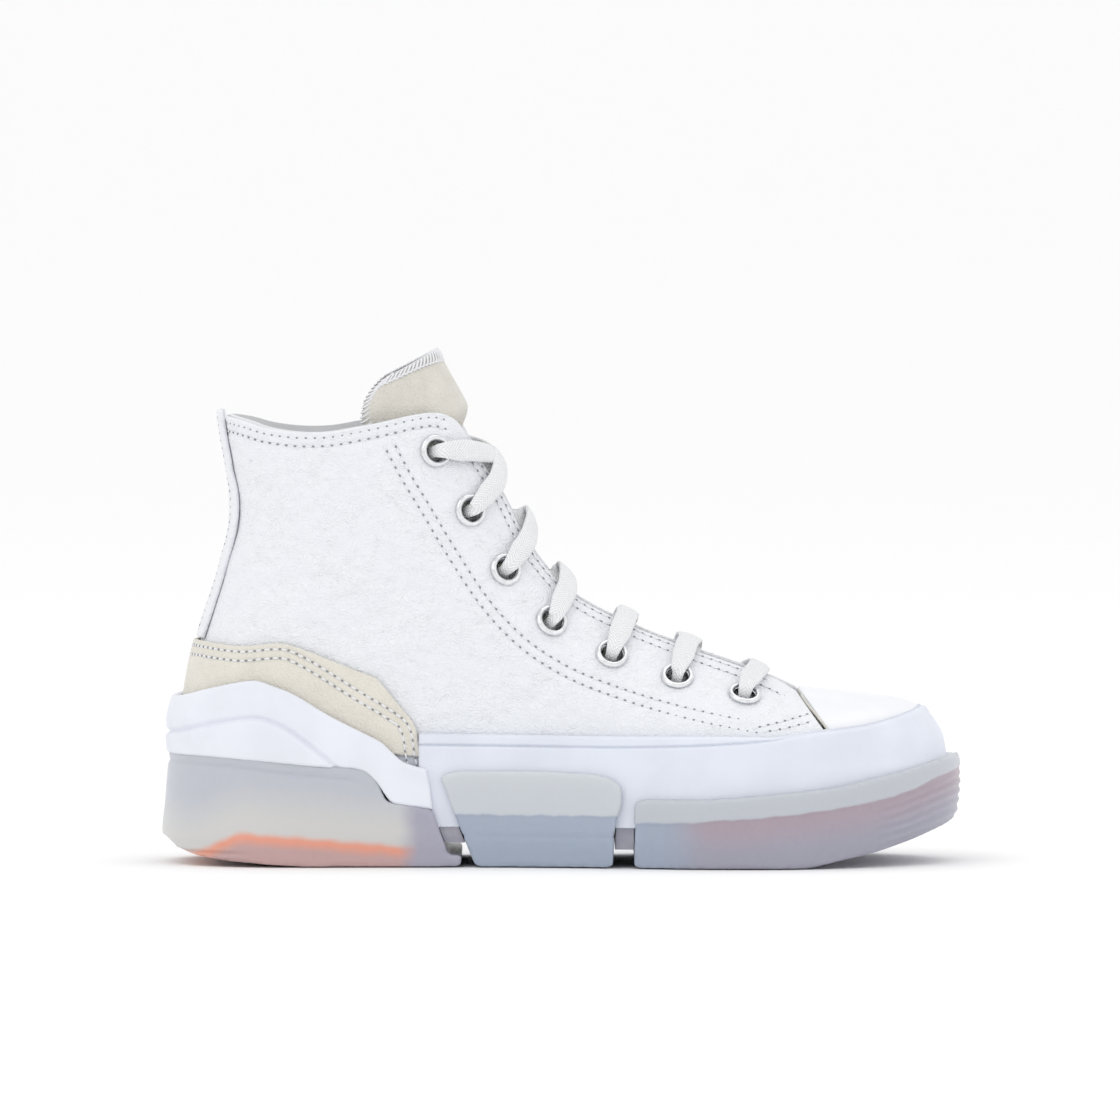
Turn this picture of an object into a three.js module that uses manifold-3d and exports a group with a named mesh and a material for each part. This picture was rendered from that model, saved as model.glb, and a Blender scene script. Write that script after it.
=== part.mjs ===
// A leather basketball high top with a blocked, translucent outsole.
// Millimetres. +X points to the toe, +Z up, +Y to the inner (medial) side of a right shoe.
// The origin is on the ground under the middle of the shoe.
import * as THREE from "three";
import * as BufferGeometryUtils from "three/addons/utils/BufferGeometryUtils.js";
import Module from "manifold-3d";

const wasm = await Module();
wasm.setup();

// Overall sizes. The outlines below are given at the nominal size and stretched to these.
const LENGTH = 274;
const HEIGHT = 175;
const WIDTH = 104;
const NOMINAL = { length: 274, height: 175, width: 104 };

// Sheet thicknesses.
const LEATHER = 1.6;
const SUEDE = 1.5;
const STAY = 0.7;
const LINING = 0.9;
const COUNTER = 1.2;
const PUFF = 0.8;
const CLIP = 4.6;
const BOARD = 2;
const INSOLE = 4.5;
const SHANK = { length: 62, width: 12, thickness: 1.2 };
const TONGUE = { face: 1.1, foam: 3.2, lining: 0.8 };

// Eyelets and lace.
const EYELET = { count: 7, bore: 7, barrel: 8, flange: 11.2, lip: 1.1, clinch: 0.4, seat: 1, rest: 0.6 };
const LACE = { width: 7.6, thickness: 1.5, waist: 4.2, waistThickness: 1.9 };
const AGLET = { diameter: 2.8, length: 16 };

// Sole unit.
const BUMPER = 3; // how far the outsole stands out past the foam above it
const FOXING = 3.9; // foam wall around the upper
const POD_WALL = 9; // rubber between a cushion and the outside
const RIM = 6; // rubber around the foam's seat
const SEAT_DEPTH = 7; // foam under the foot, down to the rubber
const POD_FLOOR = 6; // rubber under a cushion
const CUSHION = 7;
const WEB_SETBACK = 4.5;

// Clearances.
const GAP = 0.35; // between layers that touch
const PLY_GAP = 0.85; // between the plies of the upper
const CUP_GAP = 0.6; // between the upper and the foam cup
const HOLE_GAP = 0.3; // around an eyelet's barrel
const LACE_ROOM = 8.6; // from the leather's outer face to the tongue under the facing

const SX = LENGTH / NOMINAL.length;
const SY = WIDTH / NOMINAL.width;
const SZ = HEIGHT / NOMINAL.height;
const LATERAL = -1;
const MEDIAL = 1;
const SIDES = [["lateral", LATERAL], ["medial", MEDIAL]];

const clamp = (v, low, high) => Math.min(high, Math.max(low, v));
const mix = (a, b, t) => a + (b - a) * t;
const ease = (from, to, v) => {
  const t = clamp((v - from) / (to - from), 0, 1);
  return t * t * (3 - 2 * t);
};
const stretch = (points) => points.map(([x, z]) => [x * SX, z * SZ]);
const swap = (points) => points.map(([a, b]) => [b, a]).reverse();
const steps = (n) => Array.from({ length: n + 1 }, (_, i) => i / n);

// A smooth function through points sorted by their first number.
function through(points) {
  const slope = points.map((_, i) => {
    const [a, b] = [points[Math.max(0, i - 1)], points[Math.min(points.length - 1, i + 1)]];
    return (b[1] - a[1]) / (b[0] - a[0]);
  });
  return (v) => {
    let i = 0;
    while (i < points.length - 2 && v > points[i + 1][0]) i += 1;
    const [[x0, y0], [x1, y1]] = [points[i], points[i + 1]];
    const h = x1 - x0;
    const t = (v - x0) / h;
    if (t < 0) return y0 + slope[0] * (v - x0);
    if (t > 1) return y1 + slope[i + 1] * (v - x1);
    const s = 1 - t;
    return y0 * s * s * (1 + 2 * t) + y1 * t * t * (1 + 2 * s)
      + h * s * t * (slope[i] * s - slope[i + 1] * t);
  };
}

// An (x, z) curve through points, sampled evenly.
function line(points) {
  const curve = new THREE.CatmullRomCurve3(
    points.map(([x, z]) => new THREE.Vector3(x, 0, z)), false, "centripetal");
  return (t) => {
    const p = curve.getPointAt(clamp(t, 0, 1));
    return [p.x, p.z];
  };
}

// ---------------------------------------------------------------- shape of the upper

// Outer line of the upper over the instep, from above the collar to past the toe.
const RIDGE = stretch([
  [-46, 186], [-33.7, 163.5], [-28.8, 154.4], [-23.6, 141.2], [-16, 128.5], [-7.6, 110.9],
  [4.6, 95.5], [23.2, 84.5], [43, 75.9], [62, 68.8], [72, 63.8], [82, 60],
  [95.6, 58.2], [106.5, 57], [118, 55.6], [140, 52],
]);
const ridgeHeight = through(RIDGE);
const ridgeFront = through(swap(RIDGE));
// Back and toe outlines of the upper: x at a height.
const backOf = through(swap(stretch([
  [-116, 155], [-114.6, 145.5], [-112.4, 132.6], [-111.6, 122], [-112.2, 113.5], [-114, 105.4],
  [-116.8, 95.2], [-121.4, 81.6], [-124.3, 72], [-127.2, 56], [-127.4, 45], [-125.8, 30],
]).map(([x, z]) => [x, z])));
const toeOf = (z) => mix(127.2 * SX, 125.4 * SX, ease(42 * SZ, 56 * SZ, z));

// Half-widths of the sole in plan, and how the toe swings inwards.
const SOLE_HALF = {
  [LATERAL]: through([[-137, 39], [-100, 39.5], [-60, 38.5], [-20, 38.5], [12, 43], [50, 51.5],
    [82, 52.5], [112, 50], [137, 48]].map(([x, y]) => [x * SX, y * SY])),
  [MEDIAL]: through([[-137, 39], [-100, 39.5], [-60, 37.5], [-20, 35], [12, 38], [50, 46.5],
    [82, 50], [112, 48], [137, 46]].map(([x, y]) => [x * SX, y * SY])),
};
const centre = (x) => 4 * SY * ease(20 * SX, 150 * SX, x);
const HEEL_ROUND = 34 * SX;
const TOE_ROUND = 54 * SX;
const COLLAR_HALF = through([[50, 31], [95, 30.5], [125, 31.5], [160, 33.5]]
  .map(([z, y]) => [z * SZ, y * SY]));
const CORNER = 8; // how square the toe is where its top turns down

function ridgeDepth(x, z) {
  const down = ridgeHeight(x) - z;
  const across = z > RIDGE[RIDGE.length - 1][1] ? ridgeFront(z) - x : Infinity;
  if (across === Infinity) return down;
  const depth = Math.abs(down * across) / Math.hypot(down, across);
  return down > 0 && across > 0 ? depth : -depth;
}

// Square of the half-width at (x, z); it falls to nought on the outline.
function halfSquared(x, z, side) {
  const foot = SOLE_HALF[side](x) - BUMPER - FOXING - CUP_GAP;
  const half = mix(foot, COLLAR_HALF(z), ease(45 * SZ, 105 * SZ, z));
  const arch = clamp(ridgeHeight(x) - 42 * SZ, 14, 38);
  const top = Math.max(0, 1 - ridgeDepth(x, z) / arch);
  const toe = Math.max(0, 1 - (toeOf(z) - x) / TOE_ROUND);
  const back = Math.max(0, 1 - (x - backOf(z)) / HEEL_ROUND);
  return half * half * (1 - (top ** CORNER + toe ** CORNER) ** (2 / CORNER) - back * back);
}

// The place on the upper's outer face at (x, z), with its outward direction.
function place(x, z, side, least = 0) {
  const step = 0.05;
  const face = side || LATERAL;
  const half = side === 0 ? 0 : Math.sqrt(Math.max(0, halfSquared(x, z, face)));
  const slopeX = (halfSquared(x + step, z, face) - halfSquared(x - step, z, face)) / (2 * step);
  const slopeZ = (halfSquared(x, z + step, face) - halfSquared(x, z - step, face)) / (2 * step);
  return {
    point: new THREE.Vector3(x, centre(x) + face * Math.max(side === 0 ? 0 : least, half), z),
    out: new THREE.Vector3(-slopeX, 2 * face * half, -slopeZ).normalize(),
  };
}
const raised = (at, offset) => at.point.clone().addScaledVector(at.out, offset);

// x of the outline in front of (from, z).
function frontAt(z, from) {
  let [inside, outside] = [from, toeOf(z) + 2];
  for (let i = 0; i < 40; i += 1) {
    const middle = (inside + outside) / 2;
    if (halfSquared(middle, z, LATERAL) > 0) inside = middle;
    else outside = middle;
  }
  return inside;
}

// The foam's bed, under the foot.
const bed = through(stretch([
  [-130, 41], [-80, 40.6], [-40, 38], [0, 35], [40, 30.5], [60, 28.5], [95, 28], [130, 31]]));

// ---------------------------------------------------------------- meshes and solids

function closedMesh(vertices, triangles) {
  let geometry = new THREE.BufferGeometry();
  geometry.setAttribute("position", new THREE.Float32BufferAttribute(vertices.flatMap((v) => [v.x, v.y, v.z]), 3));
  geometry.setIndex(triangles.flat());
  geometry = BufferGeometryUtils.mergeVertices(geometry, 1e-3);
  const [position, index] = [geometry.attributes.position, Array.from(geometry.index.array)];
  const kept = [];
  let volume = 0;
  const [a, b, c] = [new THREE.Vector3(), new THREE.Vector3(), new THREE.Vector3()];
  for (let i = 0; i < index.length; i += 3) {
    const [p, q, r] = index.slice(i, i + 3);
    if (p === q || q === r || r === p) continue;
    kept.push(p, q, r);
    a.fromBufferAttribute(position, p);
    b.fromBufferAttribute(position, q);
    c.fromBufferAttribute(position, r);
    volume += a.dot(b.cross(c));
  }
  geometry.setIndex(volume < 0 ? kept.reverse() : kept);
  return geometry;
}

// A closed sheet over a grid of places, between two offsets from the upper's outer face.
// inner and outer are numbers or functions of (place, row, column).
function sheet(grid, inner, outer) {
  const at = (offset, p, i, j) => raised(p, typeof offset === "function" ? offset(p, i, j) : offset);
  return plate(...[outer, inner].map((offset) => grid.map((row, i) => row.map((p, j) => at(offset, p, i, j)))));
}

// A closed plate between two grids of points.
function plate(upperFace, lowerFace) {
  const [rows, columns] = [upperFace.length, upperFace[0].length];
  const vertices = [upperFace, lowerFace].flatMap((face) => face.flat());
  const n = rows * columns;
  const id = (i, j, face) => face * n + i * columns + j;
  const triangles = [];
  const quad = (p, q, r, s) => triangles.push([p, q, r], [p, r, s]);
  for (let i = 0; i < rows - 1; i += 1) {
    for (let j = 0; j < columns - 1; j += 1) {
      quad(id(i, j, 0), id(i, j + 1, 0), id(i + 1, j + 1, 0), id(i + 1, j, 0));
      quad(id(i, j, 1), id(i + 1, j, 1), id(i + 1, j + 1, 1), id(i, j + 1, 1));
    }
  }
  for (let j = 0; j < columns - 1; j += 1) {
    quad(id(0, j, 1), id(0, j + 1, 1), id(0, j + 1, 0), id(0, j, 0));
    quad(id(rows - 1, j, 0), id(rows - 1, j + 1, 0), id(rows - 1, j + 1, 1), id(rows - 1, j, 1));
  }
  for (let i = 0; i < rows - 1; i += 1) {
    quad(id(i, 0, 0), id(i + 1, 0, 0), id(i + 1, 0, 1), id(i, 0, 1));
    quad(id(i, columns - 1, 1), id(i + 1, columns - 1, 1), id(i + 1, columns - 1, 0), id(i, columns - 1, 0));
  }
  return closedMesh(vertices, triangles);
}

// A closed solid through horizontal rings of points, all of one length.
function stack(rings) {
  const n = rings[0].length;
  const vertices = rings.flat();
  const triangles = [];
  for (let k = 0; k < rings.length - 1; k += 1) {
    for (let i = 0; i < n; i += 1) {
      const [p, q] = [k * n + i, k * n + ((i + 1) % n)];
      triangles.push([p, q, q + n], [p, q + n, p + n]);
    }
  }
  for (const [k, turn] of [[0, false], [rings.length - 1, true]]) {
    const flat = rings[k].map((v) => new THREE.Vector2(v.x, v.y));
    for (const [p, q, r] of THREE.ShapeUtils.triangulateShape(flat, [])) {
      triangles.push(turn ? [k * n + p, k * n + q, k * n + r] : [k * n + r, k * n + q, k * n + p]);
    }
  }
  return closedMesh(vertices, triangles);
}

// A side-view outline, (x, z), drawn out across the whole shoe.
function across(points, low = -WIDTH, high = WIDTH) {
  const shape = new THREE.Shape(points.map(([x, z]) => new THREE.Vector2(x, z)));
  const geometry = new THREE.ExtrudeGeometry(shape, { depth: high - low, bevelEnabled: false, curveSegments: 1 });
  return geometry.rotateX(Math.PI / 2).translate(0, high, 0);
}
const between = (x0, x1, z0, z1) => across([[x0, z0], [x1, z0], [x1, z1], [x0, z1]]);

// The outline moved outwards by a distance; it runs anticlockwise in (x, z).
function grown(points, distance) {
  return points.map((p, i) => {
    const [a, b] = [points[(i + points.length - 1) % points.length], points[(i + 1) % points.length]];
    const [u, v] = [[p[0] - a[0], p[1] - a[1]], [b[0] - p[0], b[1] - p[1]]];
    const [lu, lv] = [Math.hypot(...u), Math.hypot(...v)];
    const [n, m] = [[u[1] / lu, -u[0] / lu], [v[1] / lv, -v[0] / lv]];
    const scale = distance / Math.max(0.4, 1 + n[0] * m[0] + n[1] * m[1]);
    return [p[0] + (n[0] + m[0]) * scale, p[1] + (n[1] + m[1]) * scale];
  });
}

function solid(geometry) {
  const bare = new THREE.BufferGeometry();
  bare.setAttribute("position", geometry.attributes.position.clone());
  if (geometry.index) bare.setIndex(geometry.index.clone());
  const merged = BufferGeometryUtils.mergeVertices(bare, 1e-4);
  return new wasm.Manifold(new wasm.Mesh({
    numProp: 3,
    vertProperties: new Float32Array(merged.attributes.position.array),
    triVerts: new Uint32Array(merged.index.array),
  }));
}
const all = (solids) => solids.reduce((a, b) => a.add(b));
function geometryOf(manifold) {
  const mesh = manifold.simplify(0.01).getMesh();
  const geometry = new THREE.BufferGeometry();
  geometry.setAttribute("position", new THREE.BufferAttribute(mesh.vertProperties, 3));
  geometry.setIndex(new THREE.BufferAttribute(mesh.triVerts, 1));
  return geometry;
}

const COLOURS = {
  leather: [0xedeff4, 0.55, 0], suede: [0xded9d0, 0.95, 0], foam: [0xdee2ec, 0.6, 0],
  rubber: [0xb8c2cc, 0.25, 0], orange: [0xe0a087, 0.6, 0], pink: [0xc9a4a0, 0.6, 0],
  cloth: [0xe9eaee, 0.9, 0], board: [0xcdb893, 0.9, 0], stiffener: [0xd8d3c4, 0.8, 0],
  metal: [0xc4c6c8, 0.25, 1], lace: [0xf0f2f3, 0.85, 0], tip: [0xf4f6f8, 0.2, 0],
};
const group = new THREE.Group();
function add(name, kind, geometry) {
  const [color, roughness, metalness] = COLOURS[kind];
  const mesh = new THREE.Mesh(geometry, new THREE.MeshStandardMaterial({ color, roughness, metalness }));
  mesh.name = name;
  group.add(mesh);
}

// ---------------------------------------------------------------- grids on the upper

// Rows from a lower line to an upper line, both given over 0..1.
function ruled(side, lower, upper, columns, rows, least = 0) {
  return rows.map((v) => columns.map((u) => {
    const [a, b] = [lower(u), upper(u)];
    return place(mix(a[0], b[0], v), mix(a[1], b[1], v), side, least);
  }));
}

// Rows around the heel, from the lateral edge to the medial edge.
function aroundHeel(columns, rows, low, high, edge) {
  const shares = [...columns.slice(1).reverse().map((t) => [t, LATERAL]), ...columns.map((t) => [t, t ? MEDIAL : 0])];
  return rows.map((v) => shares.map(([t, side]) => {
    const rough = mix(backOf(high(-100 * SX)), edge(high(-100 * SX)), t);
    const z = mix(low(rough), high(rough), v);
    return place(mix(backOf(z), edge(z), t), z, side);
  }));
}

// Rows across the ridge, from the lateral lower line up over the ridge and down to the medial one.
function overRidge(stations, turns, spine, lower) {
  const shares = [...turns.slice(1).reverse().map((t) => [t, LATERAL]), ...turns.map((t) => [t, t ? MEDIAL : 0])];
  return stations.map((u) => shares.map(([t, side]) => {
    const [a, b] = [spine(u), lower(u)];
    return place(mix(a[0], b[0], t * t), mix(a[1], b[1], t * t), side);
  }));
}

const HEEL_COLUMNS = [0, 0.08, 0.16, 0.25, 0.34, 0.44, 0.55, 0.68].map((t) => t * t);
const bottomOf = (x) => bed(x) + GAP;

// ---------------------------------------------------------------- quarters

// Top edge of a quarter: the collar, round the front corner, and down the throat.
const COLLAR = stretch([[-116, 152.6], [-108, 151], [-101.5, 149.2], [-93, 148], [-85, 147.7],
  [-78, 148.1], [-69.5, 149.6], [-60.8, 151.4], [-50.5, 153.7], [-43, 154.5], [-38, 153.3],
  [-34.5, 150.5], [-32, 146.7]]);
const THROAT = stretch([[-32, 146.7], [-27.4, 139.2], [-19.4, 126.5], [-10.2, 109], [2.9, 93.4],
  [22.2, 82.5], [42.3, 74.3], [61.5, 67.5], [71.9, 63.4], [81, 59]]);
const CAP_REAR = stretch([[81.6, 59.2], [84.5, 55.2], [90, 48.8], [104, 29]]);
const capRear = line(CAP_REAR);
const collar = line(COLLAR);
const throat = line(THROAT);
const FACING = stretch([[-56.4, 144.5], [-50.5, 133.3], [-44, 122.5], [-37.4, 111.3], [-26.6, 94.4],
  [-18.4, 84.2], [-9, 75.6], [4.5, 67.4], [19.7, 61.4], [35.4, 56.6], [51.4, 52.8], [66, 50]]);
const facing = line(FACING);

// Columns 0..1 of a panel: bunched in the round of the heel, then even.
const NEAR_HEEL = 0.16;
const panelColumns = (count) => [0, 0.1, 0.2, 0.3, 0.41, 0.53, 0.67, 0.83].map((t) => t * t * NEAR_HEEL)
  .concat(steps(count).map((t) => mix(NEAR_HEEL, 1, t)));
const panelRows = (count) => steps(count).map((t) => 1 - (1 - t) ** 1.6);

// A panel's top line runs along parts, each [curve, share of the columns]; u = 0 is on the heel.
function chain(...parts) {
  return (u) => {
    let rest = u;
    for (const [curve, share] of parts) {
      if (rest <= share) return curve(rest / share);
      rest -= share;
    }
    return parts[parts.length - 1][0](1);
  };
}
function panel(side, top, front, columns, rows) {
  const lower = (u) => {
    const x = mix(backOf(42 * SZ), front[0], u);
    return [u === 0 ? backOf(bottomOf(x)) : x, bottomOf(x)];
  };
  const upper = (u) => {
    const [x, z] = top(u);
    return u === 0 ? [backOf(z), z] : [Math.max(x, backOf(z)), z];
  };
  return rows.map((v) => columns.map((u) => {
    const [a, b] = [lower(u), upper(u)];
    const z = mix(a[1], b[1], v);
    const bulge = backOf(z) - mix(backOf(a[1]), backOf(b[1]), v);
    const x = mix(a[0], b[0], v) + bulge * ease(0.5, NEAR_HEEL, u);
    return place(x, z, side, GAP / 2);
  }));
}
const quarterTop = chain([collar, 0.44], [throat, 0.56]);
const [capTop, capBottom] = [capRear(0), capRear(1)];
const quarterGrid = (side) => panel(side, (u) => {
  const [x, z] = quarterTop(u);
  return [Math.min(x, capTop[0] - GAP), z];
}, [capBottom[0] - GAP, capBottom[1]], panelColumns(12), panelRows(8));

// Eyelet centres, evenly spaced along their row.
const EYELET_ROW = line(stretch([[-42.5, 141.3], [-30.7, 121.1], [-18.6, 100.7], [-2.9, 83.2],
  [17.7, 71.9], [40.4, 64.3], [62.8, 58.4]]));
const eyelets = (side) => steps(EYELET.count - 1).map((t) => place(...EYELET_ROW(t), side));

function along(direction) {
  return new THREE.Quaternion().setFromUnitVectors(new THREE.Vector3(0, 1, 0), direction);
}
function placed(geometry, at, offset = 0) {
  return geometry.applyQuaternion(along(at.out)).translate(...raised(at, offset).toArray());
}
function withHoles(geometry, side) {
  const radius = EYELET.barrel / 2 + HOLE_GAP;
  const holes = eyelets(side).map((at) => solid(placed(new THREE.CylinderGeometry(radius, radius, 12, 10), at)));
  return geometryOf(solid(geometry).subtract(all(holes)));
}

for (const [name, side] of SIDES) {
  add(`quarter_${name}`, "leather", withHoles(sheet(quarterGrid(side), -LEATHER, 0), side));
}

// Inner eyestays, between the throat edge and the facing stitching.
const stayOuter = -LEATHER - PLY_GAP;
const stayInner = stayOuter - STAY;
for (const [name, side] of SIDES) {
  const lower = (u) => facing(mix(0.03, 1, u));
  const upper = (u) => {
    const [x, z] = throat(mix(0.03, 0.9, u));
    return [x - 0.8, z - 0.8];
  };
  const grid = ruled(side, lower, upper, steps(12), steps(3));
  add(`eyestay_${name}`, "cloth", withHoles(sheet(grid, stayInner, stayOuter), side));
}

// Linings. They lie close to the leather at the collar and leave room for the counter below.
const counterInner = stayOuter - COUNTER;
const liningOuter = (z) => mix(counterInner - PLY_GAP, stayOuter, ease(90 * SZ, 112 * SZ, z));
const LINING_FRONT = stretch([[66, 50], [84, 30]]);
for (const [name, side] of SIDES) {
  const edge = (u) => facing(mix(0, 1, u));
  const top = chain([(u) => collar(u * 0.62), 0.4], [(u) => {
    const [x, z] = edge(u);
    return [x - 1.6, z - 1.2];
  }, 0.6]);
  const grid = panel(side, top, LINING_FRONT[1], panelColumns(9), panelRows(6));
  add(`lining_${name}`, "cloth", sheet(grid,
    (p) => liningOuter(p.point.z) - LINING, (p) => liningOuter(p.point.z)));
}

// ---------------------------------------------------------------- heel pieces

const COUNTER_EDGE = -58 * SX;
add("heel_counter", "stiffener", sheet(aroundHeel(
  [...HEEL_COLUMNS, 0.64, 0.82, 1], steps(4), bottomOf,
  (x) => mix(86 * SZ, 62 * SZ, ease(-105 * SX, -60 * SX, x)), () => COUNTER_EDGE,
), counterInner, stayOuter));

const STRIP = through(swap(stretch([[-115.2, 151.2], [-112.4, 138], [-109.6, 126], [-110, 115],
  [-113, 103], [-117.6, 88], [-121.6, 76]])));
add("backstay", "leather", sheet(aroundHeel(
  steps(3).map((t) => t * t), steps(9), () => 76.5 * SZ, () => 151.8 * SZ, (z) => Math.max(STRIP(z), backOf(z) + 1.2),
), GAP, GAP + LEATHER));

const OVERLAY_TOP = through(stretch([[-128, 75.6], [-121.7, 75.6], [-115, 75], [-107.7, 74.6],
  [-99, 75.6], [-93, 75.6], [-86, 72.7], [-78.4, 68.2], [-66.7, 60.8], [-57.8, 55.6], [-52.7, 52]]));
const OVERLAY_LOW = through(stretch([[-128, 42], [-100, 40.5], [-80, 38.2], [-66, 36.6], [-46.6, 34]]));
const OVERLAY_FRONT = through(swap(stretch([[-52.7, 52.2], [-50.4, 49.4], [-48.8, 45.4], [-47.6, 37.7],
  [-46.6, 33.6]])));
const overlayInner = PLY_GAP;
const overlayOuter = overlayInner + SUEDE;
add("heel_overlay", "suede", sheet(aroundHeel(
  [...HEEL_COLUMNS, 0.6, 0.74, 0.88, 1], steps(5), OVERLAY_LOW, OVERLAY_TOP, OVERLAY_FRONT,
), overlayInner, overlayOuter));

// ---------------------------------------------------------------- toe pieces

// The outline of the toe seen from the side, swept by rays from a point inside it.
const TOE_PIVOT = [96 * SX, 34 * SZ];
function toeSpine(rear) {
  const from = Math.atan2(rear[1] - TOE_PIVOT[1], rear[0] - TOE_PIVOT[0]);
  return (u) => {
    const angle = mix(from, -0.05, u);
    let [inside, outside] = [0, 60];
    for (let i = 0; i < 40; i += 1) {
      const middle = (inside + outside) / 2;
      const [x, z] = [TOE_PIVOT[0] + middle * Math.cos(angle), TOE_PIVOT[1] + middle * Math.sin(angle)];
      if (halfSquared(x, z, LATERAL) > 0) inside = middle;
      else outside = middle;
    }
    return [TOE_PIVOT[0] + inside * Math.cos(angle), TOE_PIVOT[1] + inside * Math.sin(angle)];
  };
}
function toeGrid(setback, stations) {
  const rear = [capTop[0] + setback, ridgeHeight(capTop[0] + setback) - 0.2];
  const spine = toeSpine(rear);
  const foot = [capBottom[0] + setback, bottomOf(capBottom[0])];
  const tip = spine(1);
  const lower = (u) => {
    const x = mix(foot[0], tip[0], u ** 1.2);
    return [x, mix(bottomOf(x), tip[1], u ** 6)];
  };
  return overRidge(stations, steps(7), spine, lower);
}
const TOE_STATIONS = steps(14);
add("toe_cap", "leather", sheet(toeGrid(GAP, TOE_STATIONS), -LEATHER, 0));
add("toe_puff", "stiffener", sheet(toeGrid(9 * SX, steps(9)), stayOuter - PUFF, stayOuter));
const toeLiningOuter = stayOuter - PUFF - PLY_GAP;
add("toe_lining", "cloth", sheet(toeGrid(8 * SX, steps(9)), toeLiningOuter - LINING, toeLiningOuter));

// The layer that closes the front of the throat, under the quarters and the rear of the cap.
add("vamp_underlay", "leather", sheet(overRidge(steps(4), steps(8),
  (u) => {
    const x = mix(71 * SX, capTop[0] + 6 * SX, u);
    return [x, ridgeHeight(x)];
  },
  (u) => [mix(80 * SX, 92 * SX, u), 50 * SZ],
), stayOuter - PUFF, stayOuter));

// ---------------------------------------------------------------- tongue

// Stations down the ridge, from the sewn base to the free tip: [height, depth of the side edge].
const TONGUE_DEPTH = through([[60, 3.4], [66, 4.6], [78, 9], [90, 13], [105, 18], [125, 25],
  [145, 31], [157, 36], [166, 35.5]].map(([z, d]) => [z * SZ, d * SX]));
const TIP = 175.9 * SZ;
const TIP_CORNER = [[-9, 35], [-4.4, 31], [-1.6, 25], [0, 18]];
const tongueStations = [60.5, 63, 65.5, 69, 74, 79.5, 86, 93.5, 102, 112, 123, 134, 145, 156].map((z) => [z * SZ, null])
  .concat(TIP_CORNER.map(([drop, depth]) => [TIP + drop * 0.88, depth * SX]));
const TONGUE_TURNS = 5;
const tongueLift = (z) => mix(-LACE_ROOM, -1.6, ease(146 * SZ, 164 * SZ, z));
const tongueGrid = tongueStations.map(([z, given]) => {
  const x = ridgeFront(z);
  const slope = Math.atan2(ridgeFront(z + 1) - ridgeFront(z - 1), 2);
  const inward = [-Math.cos(slope), Math.sin(slope)];
  const depth = given ?? TONGUE_DEPTH(z);
  const turns = steps(TONGUE_TURNS);
  const shares = [...turns.slice(1).reverse().map((t) => [t, LATERAL]), ...turns.map((t) => [t, t ? MEDIAL : 0])];
  return shares.map(([t, side]) => place(x + inward[0] * depth * t * t, z + inward[1] * depth * t * t, side));
});
const baseLift = stayOuter - PUFF - PLY_GAP;
const tongueOuter = (p, i, j) => {
  const z = tongueStations[i][0];
  const t = Math.abs(j / TONGUE_TURNS - 1);
  const middle = mix(baseLift, tongueLift(z), ease(60.5 * SZ, 65 * SZ, z));
  return mix(middle, Math.min(middle, -LACE_ROOM), ease(146 * SZ, 164 * SZ, z) * t ** 2);
};
const TONGUE_LAYERS = [["face", "suede"], ["foam", "foam"], ["lining", "cloth"]];
let tongueDepth = 0;
for (const [layer, kind] of TONGUE_LAYERS) {
  const [top, low] = [tongueDepth, tongueDepth + TONGUE[layer]];
  add(`tongue_${layer}`, kind, sheet(tongueGrid,
    (p, i, j) => tongueOuter(p, i, j) - low, (p, i, j) => tongueOuter(p, i, j) - top));
  tongueDepth = low + GAP;
}

// ---------------------------------------------------------------- eyelets

function eyelet() {
  const [bore, barrel, flange] = [EYELET.bore / 2, EYELET.barrel / 2, EYELET.flange / 2];
  const [seat, under] = [EYELET.rest, stayInner - EYELET.seat];
  return new THREE.LatheGeometry([
    [bore, under - EYELET.clinch], [bore, seat + 0.5], [mix(bore, flange, 0.45), seat + EYELET.lip],
    [flange, seat], [barrel, seat], [barrel, under],
    [barrel + 1, under], [bore, under - EYELET.clinch],
  ].reverse().map(([r, h]) => new THREE.Vector2(r, h)), 10);
}
for (const [name, side] of SIDES) {
  eyelets(side).forEach((at, i) => add(`eyelet_${name}_${i + 1}`, "metal", placed(eyelet(), at)));
}

// ---------------------------------------------------------------- sole unit

const SOLE_BACK = through([[0, -134.5], [9, -136.6], [20, -135.6], [34, -134.4], [60, -131]]
  .map(([z, x]) => [z * SZ, x * SX]));
const SOLE_TOE = through([[0, 131], [10, 134], [15, 135.8], [22, 137], [33, 137.2], [37, 135.6], [60, 133]]
  .map(([z, x]) => [z * SZ, x * SX]));
const SOLE_HEEL_ROUND = 40 * SX;
const SOLE_TOE_ROUND = 60 * SX;
const LEVELS = [-2, 4, 10, 22, 34, 46, 58].map((z) => z * SZ);

function soleRing(z, inset, count = 18) {
  const [from, to] = [SOLE_BACK(z) + inset, SOLE_TOE(z) - inset];
  const xs = steps(count).map((t) => mix(from, to, (1 - Math.cos(Math.PI * t)) / 2));
  const ring = [];
  const half = (x, side) => {
    const heel = Math.max(0, 1 - (x - from) / (SOLE_HEEL_ROUND - inset));
    const toe = Math.max(0, 1 - (to - x) / (SOLE_TOE_ROUND - inset));
    const flare = -1.6 * ease(12, 0, z);
    return (SOLE_HALF[side](x) + flare - inset) * Math.sqrt(Math.max(0, 1 - heel * heel - toe * toe));
  };
  for (const x of xs) ring.push(new THREE.Vector3(x, centre(x) + LATERAL * half(x, LATERAL), z));
  for (const x of xs.slice(1, -1).reverse()) ring.push(new THREE.Vector3(x, centre(x) + MEDIAL * half(x, MEDIAL), z));
  return ring;
}
const envelope = (inset) => solid(stack(LEVELS.map((z) => soleRing(z, inset))));

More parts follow.
